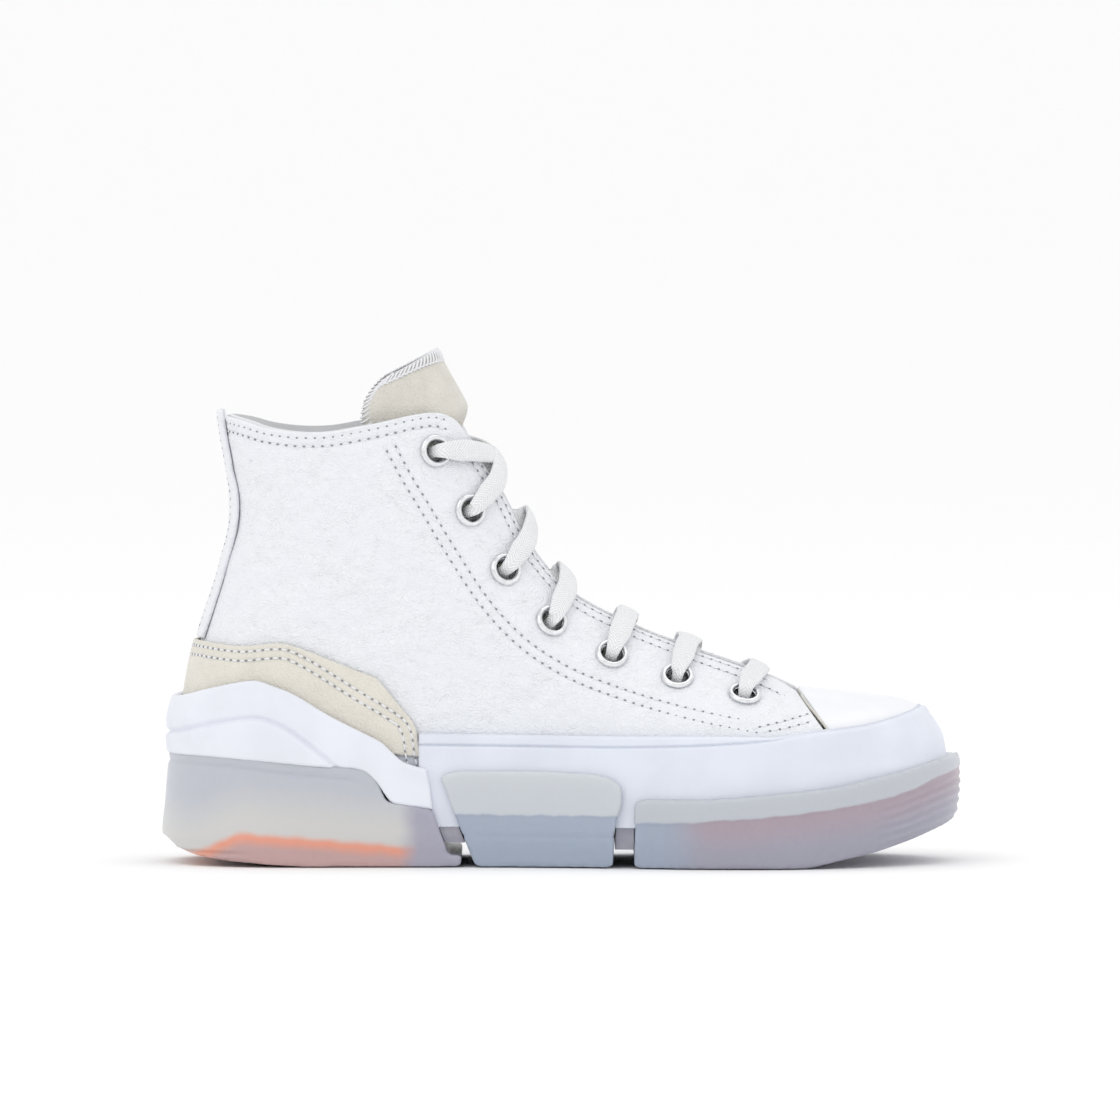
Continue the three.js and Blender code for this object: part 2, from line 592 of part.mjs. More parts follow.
// The upper's own outline as a solid, moved outwards by an offset.
const UPPER_LEVELS = [8, 20, 32, 40, 43, 46, 48.5, 51, 53, 55].map((z) => z * SZ);
function upperSolid(offset) {
  const from = 60 * SX;
  return solid(stack(UPPER_LEVELS.map((z, k) => {
    const [rear, front] = [backOf(z), frontAt(z, from)];
    const shares = steps(32).map((t) => (1 - Math.cos(Math.PI * t)) / 2);
    const points = shares.map((t) => [mix(rear, front, t), LATERAL])
      .concat(shares.slice(1, -1).reverse().map((t) => [mix(rear, front, t), MEDIAL]));
    return points.map(([x, side]) => {
      const p = raised(place(x, z, x === rear || x === front ? 0 : side), offset);
      return k === 0 || k === UPPER_LEVELS.length - 1 ? p.setZ(z) : p;
    });
  })));
}

// Side-view outlines of the blocks, anticlockwise.
const HEEL_POD = stretch([
  [-140, 3], [-135, 9], [-131, 5.6], [-125, 3.4], [-117, 2], [-102, 0.8], [-90, 0], [-33.6, 0], [-33.6, 4],
  [-36, 4], [-38, 4], [-43.6, 18.7], [-59.1, 21], [-60.5, 21.9], [-62, 25.7], [-63.8, 29.2],
  [-66.7, 32.1], [-69.6, 32.9], [-78.4, 33.3], [-90, 34.2], [-101.8, 35.7], [-119, 37.3], [-140, 37.3],
].slice(1));
HEEL_POD.unshift([-142 * SX, 9 * SZ]);
const MID_POD = stretch([[-28.8, 0], [18, 0], [18.9, 15.7], [21.1, 22.5], [20.8, 27], [17.7, 30.4],
  [12, 31.8], [-4.8, 32.6], [-35.3, 32.6], [-38.7, 31.8], [-40.9, 30.4], [-39.5, 28.2], [-37, 20.8],
  [-32.7, 9.5]]);
const TOE_POD = stretch([[25.2, 0], [85, 0], [96, 2.4], [108.4, 5], [120.7, 8.8], [132, 13], [142, 18],
  [142, 37.4], [129, 35.6], [120.7, 33.4], [112.5, 31.6], [104.2, 29.8], [96, 27.9], [83.6, 26.4],
  [63, 24.5], [50.7, 23.5], [30, 23.5], [25.8, 22.8]]);
const REAR_BRIDGE = [-44 * SX, -27 * SX, 8 * SZ, 19 * SZ];
const FRONT_BRIDGE = [17 * SX, 27 * SX, 6 * SZ, 15.7 * SZ];
const POCKETS = { heel: [-126 * SX, -52 * SX], toe: [38 * SX, 124 * SX] };

const shell = envelope(0);
const inner = envelope(POD_WALL);
const core = envelope(POD_WALL + GAP);
const webShell = envelope(WEB_SETBACK);
// Inside its rim, a block is cut down to a seat that the foam fills.
function seat(inset, drop) {
  const low = steps(24).map((t) => mix(-142, 142, t) * SX).map((x) => [x, bed(x) - drop]);
  return envelope(inset).intersect(solid(across([...low, [142 * SX, 70 * SZ], [-142 * SX, 70 * SZ]])));
}
const rimSeat = seat(RIM, SEAT_DEPTH);
const foamSeat = seat(RIM + GAP, SEAT_DEPTH - GAP);
const pods = { heel: solid(across(HEEL_POD)), mid: solid(across(MID_POD)), toe: solid(across(TOE_POD)) };

const cushionLow = POD_FLOOR + GAP;
const cushionHigh = cushionLow + CUSHION;
const toeLift = 5; // the forefoot cushion lies above the upward bend of the sole
function pocket([x0, x1], lift) {
  return inner.intersect(solid(between(x0, x1, POD_FLOOR + lift, 60 * SZ)));
}
const bridges = {
  rear: solid(between(...REAR_BRIDGE)),
  front: solid(between(...FRONT_BRIDGE)),
};
const podGap = { heel: grown(HEEL_POD, GAP), mid: grown(MID_POD, GAP), toe: grown(TOE_POD, GAP) };
add("outsole_heel", "rubber", geometryOf(shell.intersect(pods.heel).subtract(rimSeat).subtract(pocket(POCKETS.heel, 0))));
add("outsole_midfoot", "rubber", geometryOf(shell.intersect(pods.mid).subtract(rimSeat)));
add("outsole_forefoot", "rubber", geometryOf(shell.intersect(pods.toe).subtract(rimSeat).subtract(pocket(POCKETS.toe, toeLift))));
add("outsole_bridge_rear", "rubber", geometryOf(webShell.intersect(bridges.rear)
  .subtract(solid(across(podGap.heel))).subtract(solid(across(podGap.mid)))));
add("outsole_bridge_front", "rubber", geometryOf(webShell.intersect(bridges.front)
  .subtract(solid(across(podGap.mid))).subtract(solid(across(podGap.toe)))));
for (const [name, kind, [x0, x1], lift] of [
  ["heel_cushion", "orange", POCKETS.heel, 0], ["forefoot_cushion", "pink", POCKETS.toe, toeLift]]) {
  const slab = solid(between(x0 + GAP, x1 - GAP, cushionLow + lift, cushionHigh + lift));
  add(name, kind, geometryOf(core.intersect(slab)));
}

// Side-view outline of the heel clip, anticlockwise.
const CLIP_OUTLINE = stretch([[-145, 37.8], [-119, 37.8], [-101.8, 36.2], [-90, 34.7], [-78.4, 33.8],
  [-69.6, 33.4], [-66.4, 32.6], [-63.4, 29.6], [-61.5, 26], [-60, 22.5], [-58.8, 21.5], [-43.6, 19.2],
  [-44.3, 25.9], [-45.7, 32.9], [-51, 34.6], [-54.4, 36], [-57.8, 39.2], [-60.8, 42.2], [-66.7, 45.4],
  [-78.4, 51.5], [-90, 58.4], [-98.3, 61.8], [-102.4, 63], [-107.7, 62.2], [-116.5, 59.6],
  [-123.5, 57], [-130, 55.6], [-145, 55.6]]);

// Top line of the foxing, and the front line of the heel pieces that the foam stays clear of.
const FOXING_TOP = stretch([[-60, 45.2], [-48.6, 45.2], [13.6, 44.8], [38.3, 45.2], [63, 46], [79.6, 48],
  [104.2, 50], [112.5, 50.6], [120.7, 52], [142, 54.5]]);
const heelFront = OVERLAY_FRONT;

function midsole() {
  const outer = envelope(BUMPER);
  const under = [[-140 * SX, 12 * SZ], [90 * SX, 12 * SZ], [142 * SX, 28 * SZ]];
  const body = outer.intersect(solid(across([...under, ...FOXING_TOP.slice().reverse(), [-140 * SX, 45.2 * SZ]])));
  const heights = steps(8).map((t) => mix(8, 56, t) * SZ);
  const heelZone = solid(across([[-160 * SX, 8 * SZ], ...heights.map((z) => [heelFront(clamp(z, 34 * SZ, 52 * SZ)) + GAP, z]),
    [-160 * SX, 56 * SZ]]));
  const bedLine = steps(24).map((t) => mix(-140, 142, t) * SX).map((x) => [x, bed(x)]);
  const cup = upperSolid(CUP_GAP).intersect(solid(across([...bedLine, [142 * SX, 70 * SZ], [-140 * SX, 70 * SZ]])));
  const plugs = [POCKETS.heel, POCKETS.toe].map(([x0, x1], i) => core.intersect(
    solid(between(x0 + GAP, x1 - GAP, cushionHigh + GAP + (i ? toeLift : 0), (i ? 23 : 36) * SZ))));
  let foam = body.subtract(heelZone.subtract(upperSolid(0)));
  foam = foam.subtract(solid(across(grown(CLIP_OUTLINE, GAP))).subtract(upperSolid(0)));
  for (const outline of Object.values(podGap)) foam = foam.subtract(solid(across(outline)).subtract(foamSeat));
  for (const [x0, x1, z0, z1] of [REAR_BRIDGE, FRONT_BRIDGE]) {
    foam = foam.subtract(solid(between(x0 - 2, x1 + 2, z0 - 8, z1 + GAP)));
  }
  foam = foam.add(all(plugs)).subtract(cup);
  const slot = solid(between(shankFrom - GAP, shankFrom + SHANK.length + GAP, shankZ - GAP, 60 * SZ));
  return foam.subtract(slot.intersect(solid(new THREE.BoxGeometry(400, SHANK.width + 2 * GAP, 400))));
}
const shankFrom = -58 * SX;
const shankZ = bed(shankFrom + SHANK.length) - SHANK.thickness - GAP;
add("midsole", "foam", geometryOf(midsole()));
add("shank", "metal", new THREE.BoxGeometry(SHANK.length, SHANK.width, SHANK.thickness)
  .translate(shankFrom + SHANK.length / 2, 0, shankZ + SHANK.thickness / 2));

// Board and insole, inside the linings.
const BED_STEPS = steps(16);
function footbed(low, high, offset) {
  const z = 40 * SZ;
  const [rear, front] = [backOf(z), frontAt(z, 60 * SX)];
  const rows = BED_STEPS.map((t) => {
    const x = mix(rear, front, (1 - Math.cos(Math.PI * clamp(t, 0.02, 0.98))) / 2);
    return [LATERAL, MEDIAL].map((side) => raised(place(x, z, side), offset));
  });
  const face = (lift) => rows.map((row) => row.map((p) => p.clone().setZ(bed(p.x) + lift)));
  return plate(face(high), face(low));
}
const wallInner = counterInner - PLY_GAP - LINING;
add("insole_board", "board", footbed(PLY_GAP, PLY_GAP + BOARD, wallInner - 1));
const insoleLow = PLY_GAP + BOARD + GAP;
add("insole", "cloth", footbed(insoleLow, insoleLow + INSOLE, wallInner - 1.6));

// ---------------------------------------------------------------- heel clip

const clipInner = overlayOuter + PLY_GAP;
const clipGrid = aroundHeel([...HEEL_COLUMNS, 0.6, 0.74, 0.88, 1], [0, 0.3, 0.5, 0.62, 0.74, 0.87, 1],
  () => 14 * SZ, () => 66 * SZ, () => -40 * SX);
add("heel_clip", "foam", geometryOf(solid(sheet(clipGrid, clipInner,
  (p, i) => clipInner + (i === 6 ? CLIP - 2 : CLIP))).intersect(solid(across(CLIP_OUTLINE)))));

// ---------------------------------------------------------------- lace

const rows = EYELET.count;
const holes = { [LATERAL]: eyelets(LATERAL), [MEDIAL]: eyelets(MEDIAL) };
const laceUnder = stayInner - EYELET.seat - EYELET.clinch - GAP - LACE.thickness / 2;
const laceOver = EYELET.rest + EYELET.lip + GAP + LACE.thickness / 2;
const BORE_TURN = 0.9;

// A stop on the lace's way: where it is, which way the face under it looks, and how wide it is.
const stop = (point, face, waist = 0) => ({ point, face, waist });
const onFace = (at, offset, shift, waist = 0) => stop(raised(at, offset).add(shift), at.out, waist);

function towards(at, target) {
  const way = target.clone().sub(at.point);
  return way.addScaledVector(at.out, -way.dot(at.out)).normalize();
}
function ridgeStop(z, y, lift) {
  const at = place(ridgeFront(z), z, 0);
  const p = raised(at, lift);
  return stop(p.setY(p.y + y), at.out);
}
// Through a hole, from the inside out.
function throughHole(side, row, insideWay, outsideWay) {
  const at = holes[side][row];
  return [
    onFace(at, laceUnder, insideWay.clone().multiplyScalar(BORE_TURN * 1.6), 0.6),
    onFace(at, (laceUnder - 0.4) / 2, new THREE.Vector3(), 1),
    onFace(at, 0.2, new THREE.Vector3(), 1),
    onFace(at, laceOver, outsideWay.clone().multiplyScalar(BORE_TURN * 1.6), 0.7),
  ];
}
// Where the lace crosses the throat edge on its way between a hole and the crossing.
function edgeStop(side, row, target, offset, reach) {
  const at = holes[side][row];
  const way = towards(at, target);
  const aim = at.point.clone().addScaledVector(way, reach);
  const on = place(aim.x, aim.z, side);
  return stop(raised(on, offset), on.out);
}
const crossingHeight = (row) => (holes[LATERAL][row].point.z + holes[LATERAL][row - 1].point.z) / 2 + 7 * SZ;
const OVER = 1.2;
const DIVE = -2.8;
const CROSS = { [LATERAL]: 1.2, [MEDIAL]: -1 };
// From the outside of the lower hole, over the ridge, to the inside of the upper hole opposite.
function climb(side, row) {
  const middle = ridgeStop(crossingHeight(row), side * 1.5, CROSS[side]);
  const [low, high] = [holes[side][row], holes[-side][row - 1]];
  return {
    outWay: towards(low, middle.point),
    inWay: towards(high, middle.point),
    stops: [
      edgeStop(side, row, middle.point, laceOver, 7.4),
      edgeStop(side, row, middle.point, OVER + 1.5, 13),
      middle,
      ridgeStop(crossingHeight(row), -side * 5, DIVE),
      edgeStop(-side, row - 1, middle.point, laceUnder - 0.5, 11.8),
      edgeStop(-side, row - 1, middle.point, laceUnder, 6.5),
    ],
  };
}
// Under the facings from the inside of one bottom hole to the inside of the row above, opposite.
function passUnder(side) {
  const z = crossingHeight(rows - 1) - 2 * SZ;
  const middle = ridgeStop(z, side, side === LATERAL ? -3 : -4.9);
  const [low, high] = [holes[side][rows - 1], holes[-side][rows - 2]];
  return {
    outWay: towards(low, middle.point),
    inWay: towards(high, middle.point),
    stops: [edgeStop(side, rows - 1, middle.point, laceUnder, 6), middle,
      edgeStop(-side, rows - 2, middle.point, laceUnder, 6)],
  };
}
const TAIL_END = 122 * SZ;
const TAIL_LIFT = -6.2;
function tail(side) {
  const at = holes[side][0];
  const y = side * (LACE.width / 2 + 0.5);
  const top = ridgeStop(137 * SZ, y, 0.4);
  return {
    outWay: towards(at, top.point),
    stops: [edgeStop(side, 0, top.point, laceOver, 7.4), edgeStop(side, 0, top.point, OVER + 1.4, 12), top,
      ridgeStop(131 * SZ, y, -4.6), ridgeStop(TAIL_END, y, TAIL_LIFT)],
  };
}
const NONE = new THREE.Vector3();
function wholeLace() {
  const stops = [];
  const other = (side) => -side;
  // Down from the lateral top hole to the bottom row.
  let side = LATERAL;
  const start = tail(side);
  stops.push(...start.stops.slice().reverse());
  let arrive = start.outWay;
  for (let row = 0; row < rows - 1; row += 1) {
    const next = row < rows - 2 ? climb(other(side), row + 1) : passUnder(other(side));
    stops.push(...throughHole(side, row, next.inWay, arrive).reverse());
    stops.push(...next.stops.slice().reverse());
    arrive = next.outWay;
    side = other(side);
  }
  // Out at the bottom row, across, and in on the other side.
  const bar = ridgeStop(holes[LATERAL][rows - 1].point.z + 7.4 * SZ, 0, 1.4);
  const [first, second] = [holes[side][rows - 1], holes[-side][rows - 1]];
  stops.push(...throughHole(side, rows - 1, arrive, towards(first, bar.point)));
  stops.push(edgeStop(side, rows - 1, bar.point, laceOver, 7.4), bar, edgeStop(-side, rows - 1, bar.point, laceOver, 7.4));
  side = other(side);
  const under = passUnder(side);
  stops.push(...throughHole(side, rows - 1, under.outWay, towards(second, bar.point)).reverse());
  stops.push(...under.stops);
  arrive = under.inWay;
  side = other(side);
  // Up again to the top hole.
  for (let row = rows - 2; row > 0; row -= 1) {
    const next = climb(side, row);
    stops.push(...throughHole(side, row, arrive, next.outWay), ...next.stops);
    arrive = next.inWay;
    side = other(side);
  }
  const end = tail(side);
  stops.push(...throughHole(side, 0, arrive, end.outWay), ...end.stops);
  return stops;
}

// A flat ribbon through the stops, its flat side on the faces under it.
function ribbon(stops) {
  const curve = new THREE.CatmullRomCurve3(stops.map((s) => s.point), false, "centripetal");
  const n = stops.length - 1;
  const path = [];
  for (let i = 0; i < n; i += 1) {
    const far = stops[i].point.distanceTo(stops[i + 1].point) > 6;
    for (const t of far ? [0, 0.5] : [0]) path.push((i + t) / n);
  }
  path.push(1);
  let width = null;
  const rings = path.map((t) => {
    const at = t * n;
    const i = Math.min(n - 1, Math.floor(at));
    const share = at - i;
    const tangent = curve.getTangent(t);
    const face = stops[i].face.clone().lerp(stops[i + 1].face, share).normalize();
    const flat = face.clone().cross(tangent);
    const strength = flat.length();
    flat.normalize();
    if (width) {
      if (flat.dot(width) < 0) flat.negate();
      const kept = width.clone().addScaledVector(tangent, -width.dot(tangent)).normalize();
      flat.lerp(kept, 1 - ease(0.35, 0.9, strength)).normalize();
    }
    width = flat.clone().addScaledVector(tangent, -flat.dot(tangent)).normalize();
    const up = tangent.clone().cross(width).normalize();
    const waist = mix(stops[i].waist, stops[i + 1].waist, share);
    const half = mix(LACE.width, LACE.waist, waist) / 2;
    const thick = mix(LACE.thickness, LACE.waistThickness, waist) / 2;
    const centrePoint = curve.getPoint(t);
    return [[1, 0], [0.72, 1], [-0.72, 1], [-1, 0], [-0.72, -1], [0.72, -1]].map(([u, v]) => centrePoint.clone()
      .addScaledVector(width, u * half).addScaledVector(up, v * thick));
  });
  const vertices = rings.flat();
  const triangles = [];
  const m = rings[0].length;
  for (let k = 0; k < rings.length - 1; k += 1) {
    for (let i = 0; i < m; i += 1) {
      const [p, q] = [k * m + i, k * m + ((i + 1) % m)];
      triangles.push([p, q, q + m], [p, q + m, p + m]);
    }
  }
  const last = (rings.length - 1) * m;
  for (let i = 1; i < m - 1; i += 1) triangles.push([0, i + 1, i], [last, last + i, last + i + 1]);
  return closedMesh(vertices, triangles);
}
const laceStops = wholeLace();
add("lace", "lace", ribbon(laceStops));

// The tips carry on from the lace's two ends, down the ridge along the tongue.
const way = ridgeStop(TAIL_END - AGLET.length, 0, TAIL_LIFT).point
  .sub(ridgeStop(TAIL_END, 0, TAIL_LIFT).point).normalize();
for (const [name, end] of [["aglet_a", laceStops[0]], ["aglet_b", laceStops.at(-1)]]) {
  const tip = new THREE.CylinderGeometry(AGLET.diameter / 2, AGLET.diameter / 2, AGLET.length, 8);
  const middle = end.point.clone().addScaledVector(way, 2 * GAP + AGLET.length / 2);
  add(name, "tip", tip.applyQuaternion(along(way)).translate(...middle.toArray()));
}

export default group;
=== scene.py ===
import math

import bmesh
import bpy
import numpy as np
from mathutils import Matrix, Vector


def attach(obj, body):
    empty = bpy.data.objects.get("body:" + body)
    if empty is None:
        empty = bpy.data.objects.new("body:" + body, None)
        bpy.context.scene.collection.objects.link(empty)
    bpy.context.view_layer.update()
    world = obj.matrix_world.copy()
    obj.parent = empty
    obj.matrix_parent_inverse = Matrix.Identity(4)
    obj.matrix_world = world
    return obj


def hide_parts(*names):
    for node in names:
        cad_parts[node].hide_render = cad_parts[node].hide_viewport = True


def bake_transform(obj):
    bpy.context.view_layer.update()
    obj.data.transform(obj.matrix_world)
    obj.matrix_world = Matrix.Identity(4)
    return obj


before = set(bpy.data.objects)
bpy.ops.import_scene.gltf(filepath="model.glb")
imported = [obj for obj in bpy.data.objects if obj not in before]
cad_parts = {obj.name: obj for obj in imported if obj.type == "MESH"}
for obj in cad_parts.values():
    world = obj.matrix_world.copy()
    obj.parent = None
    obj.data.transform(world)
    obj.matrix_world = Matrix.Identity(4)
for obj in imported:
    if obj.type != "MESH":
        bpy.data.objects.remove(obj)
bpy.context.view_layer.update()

MM = 0.001
LATERAL, MEDIAL = -1, 1
SIDES = (("lateral", LATERAL), ("medial", MEDIAL))
SHOE, TONGUE_BODY, INSOLE_BODY = "shoe", "tongue", "insole"

# Thicknesses and clearances, as the parts have them.
LEATHER, SUEDE, STAY, LINING, COUNTER, PUFF, CLIP = 1.6, 1.5, 0.7, 0.9, 1.2, 0.8, 4.6
BOARD, INSOLE = 2.0, 4.5
PLY_GAP, GAP, CUP_GAP, BUMPER, FOXING, LACE_ROOM = 0.85, 0.35, 0.6, 3.0, 3.9, 8.6
STAY_OUTER = -LEATHER - PLY_GAP
STAY_INNER = STAY_OUTER - STAY
COUNTER_INNER = STAY_OUTER - COUNTER
EYELET = {"count": 7, "bore": 3.5, "barrel": 4.0, "flange": 5.6, "lip": 1.1, "seat": 1.0, "rest": 0.45}
LACE = {"width": 7.6, "thickness": 1.5, "waist": 4.2, "waist_thickness": 1.9}


# ---------------------------------------------------------------- camera, light and floor

VIEW_WIDTH, VIEW_DISTANCE, ELEVATION = 0.3808, 5.2, math.radians(2.6)
SENSOR = 36.0


def set_camera():
    data = bpy.data.cameras.new("camera")
    camera = bpy.data.objects.new("camera", data)
    bpy.context.scene.collection.objects.link(camera)
    data.sensor_width = SENSOR
    data.lens = SENSOR * VIEW_DISTANCE / VIEW_WIDTH
    data.clip_end = 50
    aim = Vector((0, -0.045, 0.105))
    back = Vector((0, -math.cos(ELEVATION), math.sin(ELEVATION)))
    camera.location = aim + back * VIEW_DISTANCE
    camera.rotation_euler = (math.pi / 2 - ELEVATION, 0, 0)
    bpy.context.scene.camera = camera


def soft_light(name, place, aim, width, watts):
    data = bpy.data.lights.new(name, "AREA")
    data.shape = "RECTANGLE"
    data.size, data.size_y, data.energy = width[0], width[1], watts
    light = bpy.data.objects.new(name, data)
    bpy.context.scene.collection.objects.link(light)
    light.location = place
    light.rotation_euler = (Vector(aim) - Vector(place)).to_track_quat("-Z", "Y").to_euler()


def set_stage():
    world = bpy.data.worlds.new("studio")
    world.use_nodes = True
    background = world.node_tree.nodes["Background"]
    background.inputs["Color"].default_value = (1, 1, 1, 1)
    background.inputs["Strength"].default_value = 1.0
    bpy.context.scene.world = world
    bpy.context.scene.view_settings.view_transform = "Standard"
    soft_light("key", (-0.9, -1.4, 1.7), (0, 0, 0.07), (1.3, 1.3), 4.5)
    soft_light("top", (0.35, 0.2, 1.6), (0, 0, 0.08), (1.2, 1.0), 2.0)
    soft_light("fill", (1.5, -0.9, 0.7), (0, 0, 0.07), (1.0, 1.0), 0.5)
    mesh = bpy.data.meshes.new("floor")
    reach = 40
    mesh.from_pydata([(-reach, -reach, 0), (reach, -reach, 0), (reach, reach, 0), (-reach, reach, 0)],
                     [], [(0, 1, 2, 3)])
    floor = bpy.data.objects.new("floor", mesh)
    bpy.context.scene.collection.objects.link(floor)
    floor.location.z = -0.0004
    paint = bpy.data.materials.new("pale_floor")
    paint.use_nodes = True
    shader = paint.node_tree.nodes["Principled BSDF"]
    shader.inputs["Base Color"].default_value = (0.97, 0.97, 0.97, 1)
    shader.inputs["Roughness"].default_value = 0.9
    shader.inputs["Specular IOR Level"].default_value = 0.1
    mesh.materials.append(paint)


set_camera()
set_stage()


# ---------------------------------------------------------------- curves and small sums

def mix(a, b, t):
    return a + (b - a) * t


def ease(start, end, v):
    t = np.clip((np.asarray(v, float) - start) / (end - start), 0, 1)
    return t * t * (3 - 2 * t)


def through(points):
    """A smooth function through points sorted by their first number."""
    xs, ys = np.array(points, float).T
    slope = np.empty(len(xs))
    slope[1:-1] = (ys[2:] - ys[:-2]) / (xs[2:] - xs[:-2])
    slope[0] = (ys[1] - ys[0]) / (xs[1] - xs[0])
    slope[-1] = (ys[-1] - ys[-2]) / (xs[-1] - xs[-2])

    def value(v):
        v = np.asarray(v, float)
        i = np.clip(np.searchsorted(xs, v) - 1, 0, len(xs) - 2)
        h = xs[i + 1] - xs[i]
        t = (v - xs[i]) / h
        s = 1 - t
        inside = (ys[i] * s * s * (1 + 2 * t) + ys[i + 1] * t * t * (1 + 2 * s)
                  + h * s * t * (slope[i] * s - slope[i + 1] * t))
        below = ys[i] + slope[i] * (v - xs[i])
        above = ys[i + 1] + slope[i + 1] * (v - xs[i + 1])
        return np.where(t < 0, below, np.where(t > 1, above, inside))
    return value


def swap(points):
    return [(b, a) for a, b in reversed(points)]


def curve_points(points, per=30):
    """A centripetal curve through points, as many small steps."""
    p = np.array(points, float)
    p = np.vstack([2 * p[0] - p[1], p, 2 * p[-1] - p[-2]])
    t = np.linspace(0, 1, per, endpoint=False)[:, None]
    runs = []
    for a, b, c, d in zip(p, p[1:], p[2:], p[3:]):
        d0, d1, d2 = (max(np.linalg.norm(v) ** 0.5, 1e-4) for v in (b - a, c - b, d - c))
        m1 = ((b - a) / d0 - (c - a) / (d0 + d1) + (c - b) / d1) * d1
        m2 = ((c - b) / d1 - (d - b) / (d1 + d2) + (d - c) / d2) * d1
        runs.append((2 * b - 2 * c + m1 + m2) * t ** 3 + (-3 * b + 3 * c - 2 * m1 - m2) * t ** 2 + m1 * t + b)
    return np.vstack([*runs, p[-2:-1]])


def lengths(p):
    return np.concatenate([[0], np.cumsum(np.linalg.norm(np.diff(p, axis=0), axis=1))])


def line(points):
    """A curve as a function of 0..1, even along its length."""
    p = curve_points(points)
    run = lengths(p)
    run /= run[-1]

    def at(t):
        t = np.clip(np.asarray(t, float), 0, 1)
        return tuple(np.interp(t, run, p[:, k]) for k in range(p.shape[1]))
    return at


def beside(points, distance):
    """The curve moved sideways, to its right as it runs."""
    p = curve_points(points)
    way = np.gradient(p, axis=0)
    way /= np.linalg.norm(way, axis=1)[:, None]
    return p + distance * np.column_stack([way[:, 1], -way[:, 0]])


# ---------------------------------------------------------------- shape of the upper

RIDGE = [(-46, 186), (-33.7, 163.5), (-28.8, 154.4), (-23.6, 141.2), (-16, 128.5), (-7.6, 110.9),
         (4.6, 95.5), (23.2, 84.5), (43, 75.9), (62, 68.8), (72, 63.8), (82, 60),
         (95.6, 58.2), (106.5, 57), (118, 55.6), (140, 52)]
ridge_height = through(RIDGE)
ridge_front = through(swap(RIDGE))
back_of = through(swap([(-116, 155), (-114.6, 145.5), (-112.4, 132.6), (-111.6, 122), (-112.2, 113.5),
                        (-114, 105.4), (-116.8, 95.2), (-121.4, 81.6), (-124.3, 72), (-127.2, 56),
                        (-127.4, 45), (-125.8, 30)]))
SOLE_HALF = {
    LATERAL: through([(-137, 39), (-100, 39.5), (-60, 38.5), (-20, 38.5), (12, 43), (50, 51.5),
                      (82, 52.5), (112, 50), (137, 48)]),
    MEDIAL: through([(-137, 39), (-100, 39.5), (-60, 37.5), (-20, 35), (12, 38), (50, 46.5),
                     (82, 50), (112, 48), (137, 46)]),
}
COLLAR_HALF = through([(50, 31), (95, 30.5), (125, 31.5), (160, 33.5)])
HEEL_ROUND, TOE_ROUND, CORNER = 34, 54, 8


def toe_of(z):
    return mix(127.2, 125.4, ease(42, 56, z))


def centre(x):
    return 4 * ease(20, 150, x)


def ridge_depth(x, z):
    down = ridge_height(x) - z
    over = ridge_front(z) - x
    both = np.abs(down * over) / np.maximum(np.hypot(down, over), 1e-9)
    corner = np.where((down > 0) & (over > 0), both, -both)
    return np.where(z > RIDGE[-1][1], corner, down)


def sole_half(x, side):
    return np.where(np.asarray(side) < 0, SOLE_HALF[LATERAL](x), SOLE_HALF[MEDIAL](x))


def half_squared(x, z, side):
    foot = sole_half(x, side) - BUMPER - FOXING - CUP_GAP
    half = mix(foot, COLLAR_HALF(z), ease(45, 105, z))
    arch = np.clip(ridge_height(x) - 42, 14, 38)
    top = np.maximum(0, 1 - ridge_depth(x, z) / arch)
    toe = np.maximum(0, 1 - (toe_of(z) - x) / TOE_ROUND)
    back = np.maximum(0, 1 - (x - back_of(z)) / HEEL_ROUND)
    return half * half * (1 - (top ** CORNER + toe ** CORNER) ** (2 / CORNER) - back * back)


def place(x, z, side, least=0.0):
    """Places on the leather's outer face: points and outward directions, for side -1, 0 or 1."""
    x, z, side = np.broadcast_arrays(np.asarray(x, float), np.asarray(z, float), np.asarray(side, float))
    step = 0.3
    face = np.where(side == 0, LATERAL, side)
    half = np.where(side == 0, 0, np.sqrt(np.maximum(0, half_squared(x, z, face))))
    slope_x = (half_squared(x + step, z, face) - half_squared(x - step, z, face)) / (2 * step)
    slope_z = (half_squared(x, z + step, face) - half_squared(x, z - step, face)) / (2 * step)
    y = centre(x) + face * np.where(side == 0, 0, np.maximum(least, half))
    out = np.stack([-slope_x, 2 * face * half, -slope_z], -1)
    out /= np.maximum(np.linalg.norm(out, axis=-1, keepdims=True), 1e-9)
    return np.stack([x, y, z], -1), out


def front_at(z, start=60.0):
    inside, outside = start, toe_of(z) + 2
    for _ in range(40):
        middle = (inside + outside) / 2
        if half_squared(middle, z, LATERAL) > 0:
            inside = middle
        else:
            outside = middle
    return inside


bed = through([(-130, 41), (-80, 40.6), (-40, 38), (0, 35), (40, 30.5), (60, 28.5), (95, 28), (130, 31)])


def bottom_of(x):
    return bed(x) + GAP


COLLAR = [(-116, 152.6), (-108, 151), (-101.5, 149.2), (-93, 148), (-85, 147.7), (-78, 148.1),
          (-69.5, 149.6), (-60.8, 151.4), (-50.5, 153.7), (-43, 154.5), (-38, 153.3), (-34.5, 150.5),
          (-32, 146.7)]
THROAT = [(-32, 146.7), (-27.4, 139.2), (-19.4, 126.5), (-10.2, 109), (2.9, 93.4), (22.2, 82.5),
          (42.3, 74.3), (61.5, 67.5), (71.9, 63.4), (81, 59)]
CAP_REAR = [(81.6, 59.2), (84.5, 55.2), (90, 48.8), (104, 29)]
FACING = [(-56.4, 144.5), (-50.5, 133.3), (-44, 122.5), (-37.4, 111.3), (-26.6, 94.4), (-18.4, 84.2),
          (-9, 75.6), (4.5, 67.4), (19.7, 61.4), (35.4, 56.6), (51.4, 52.8), (66, 50)]
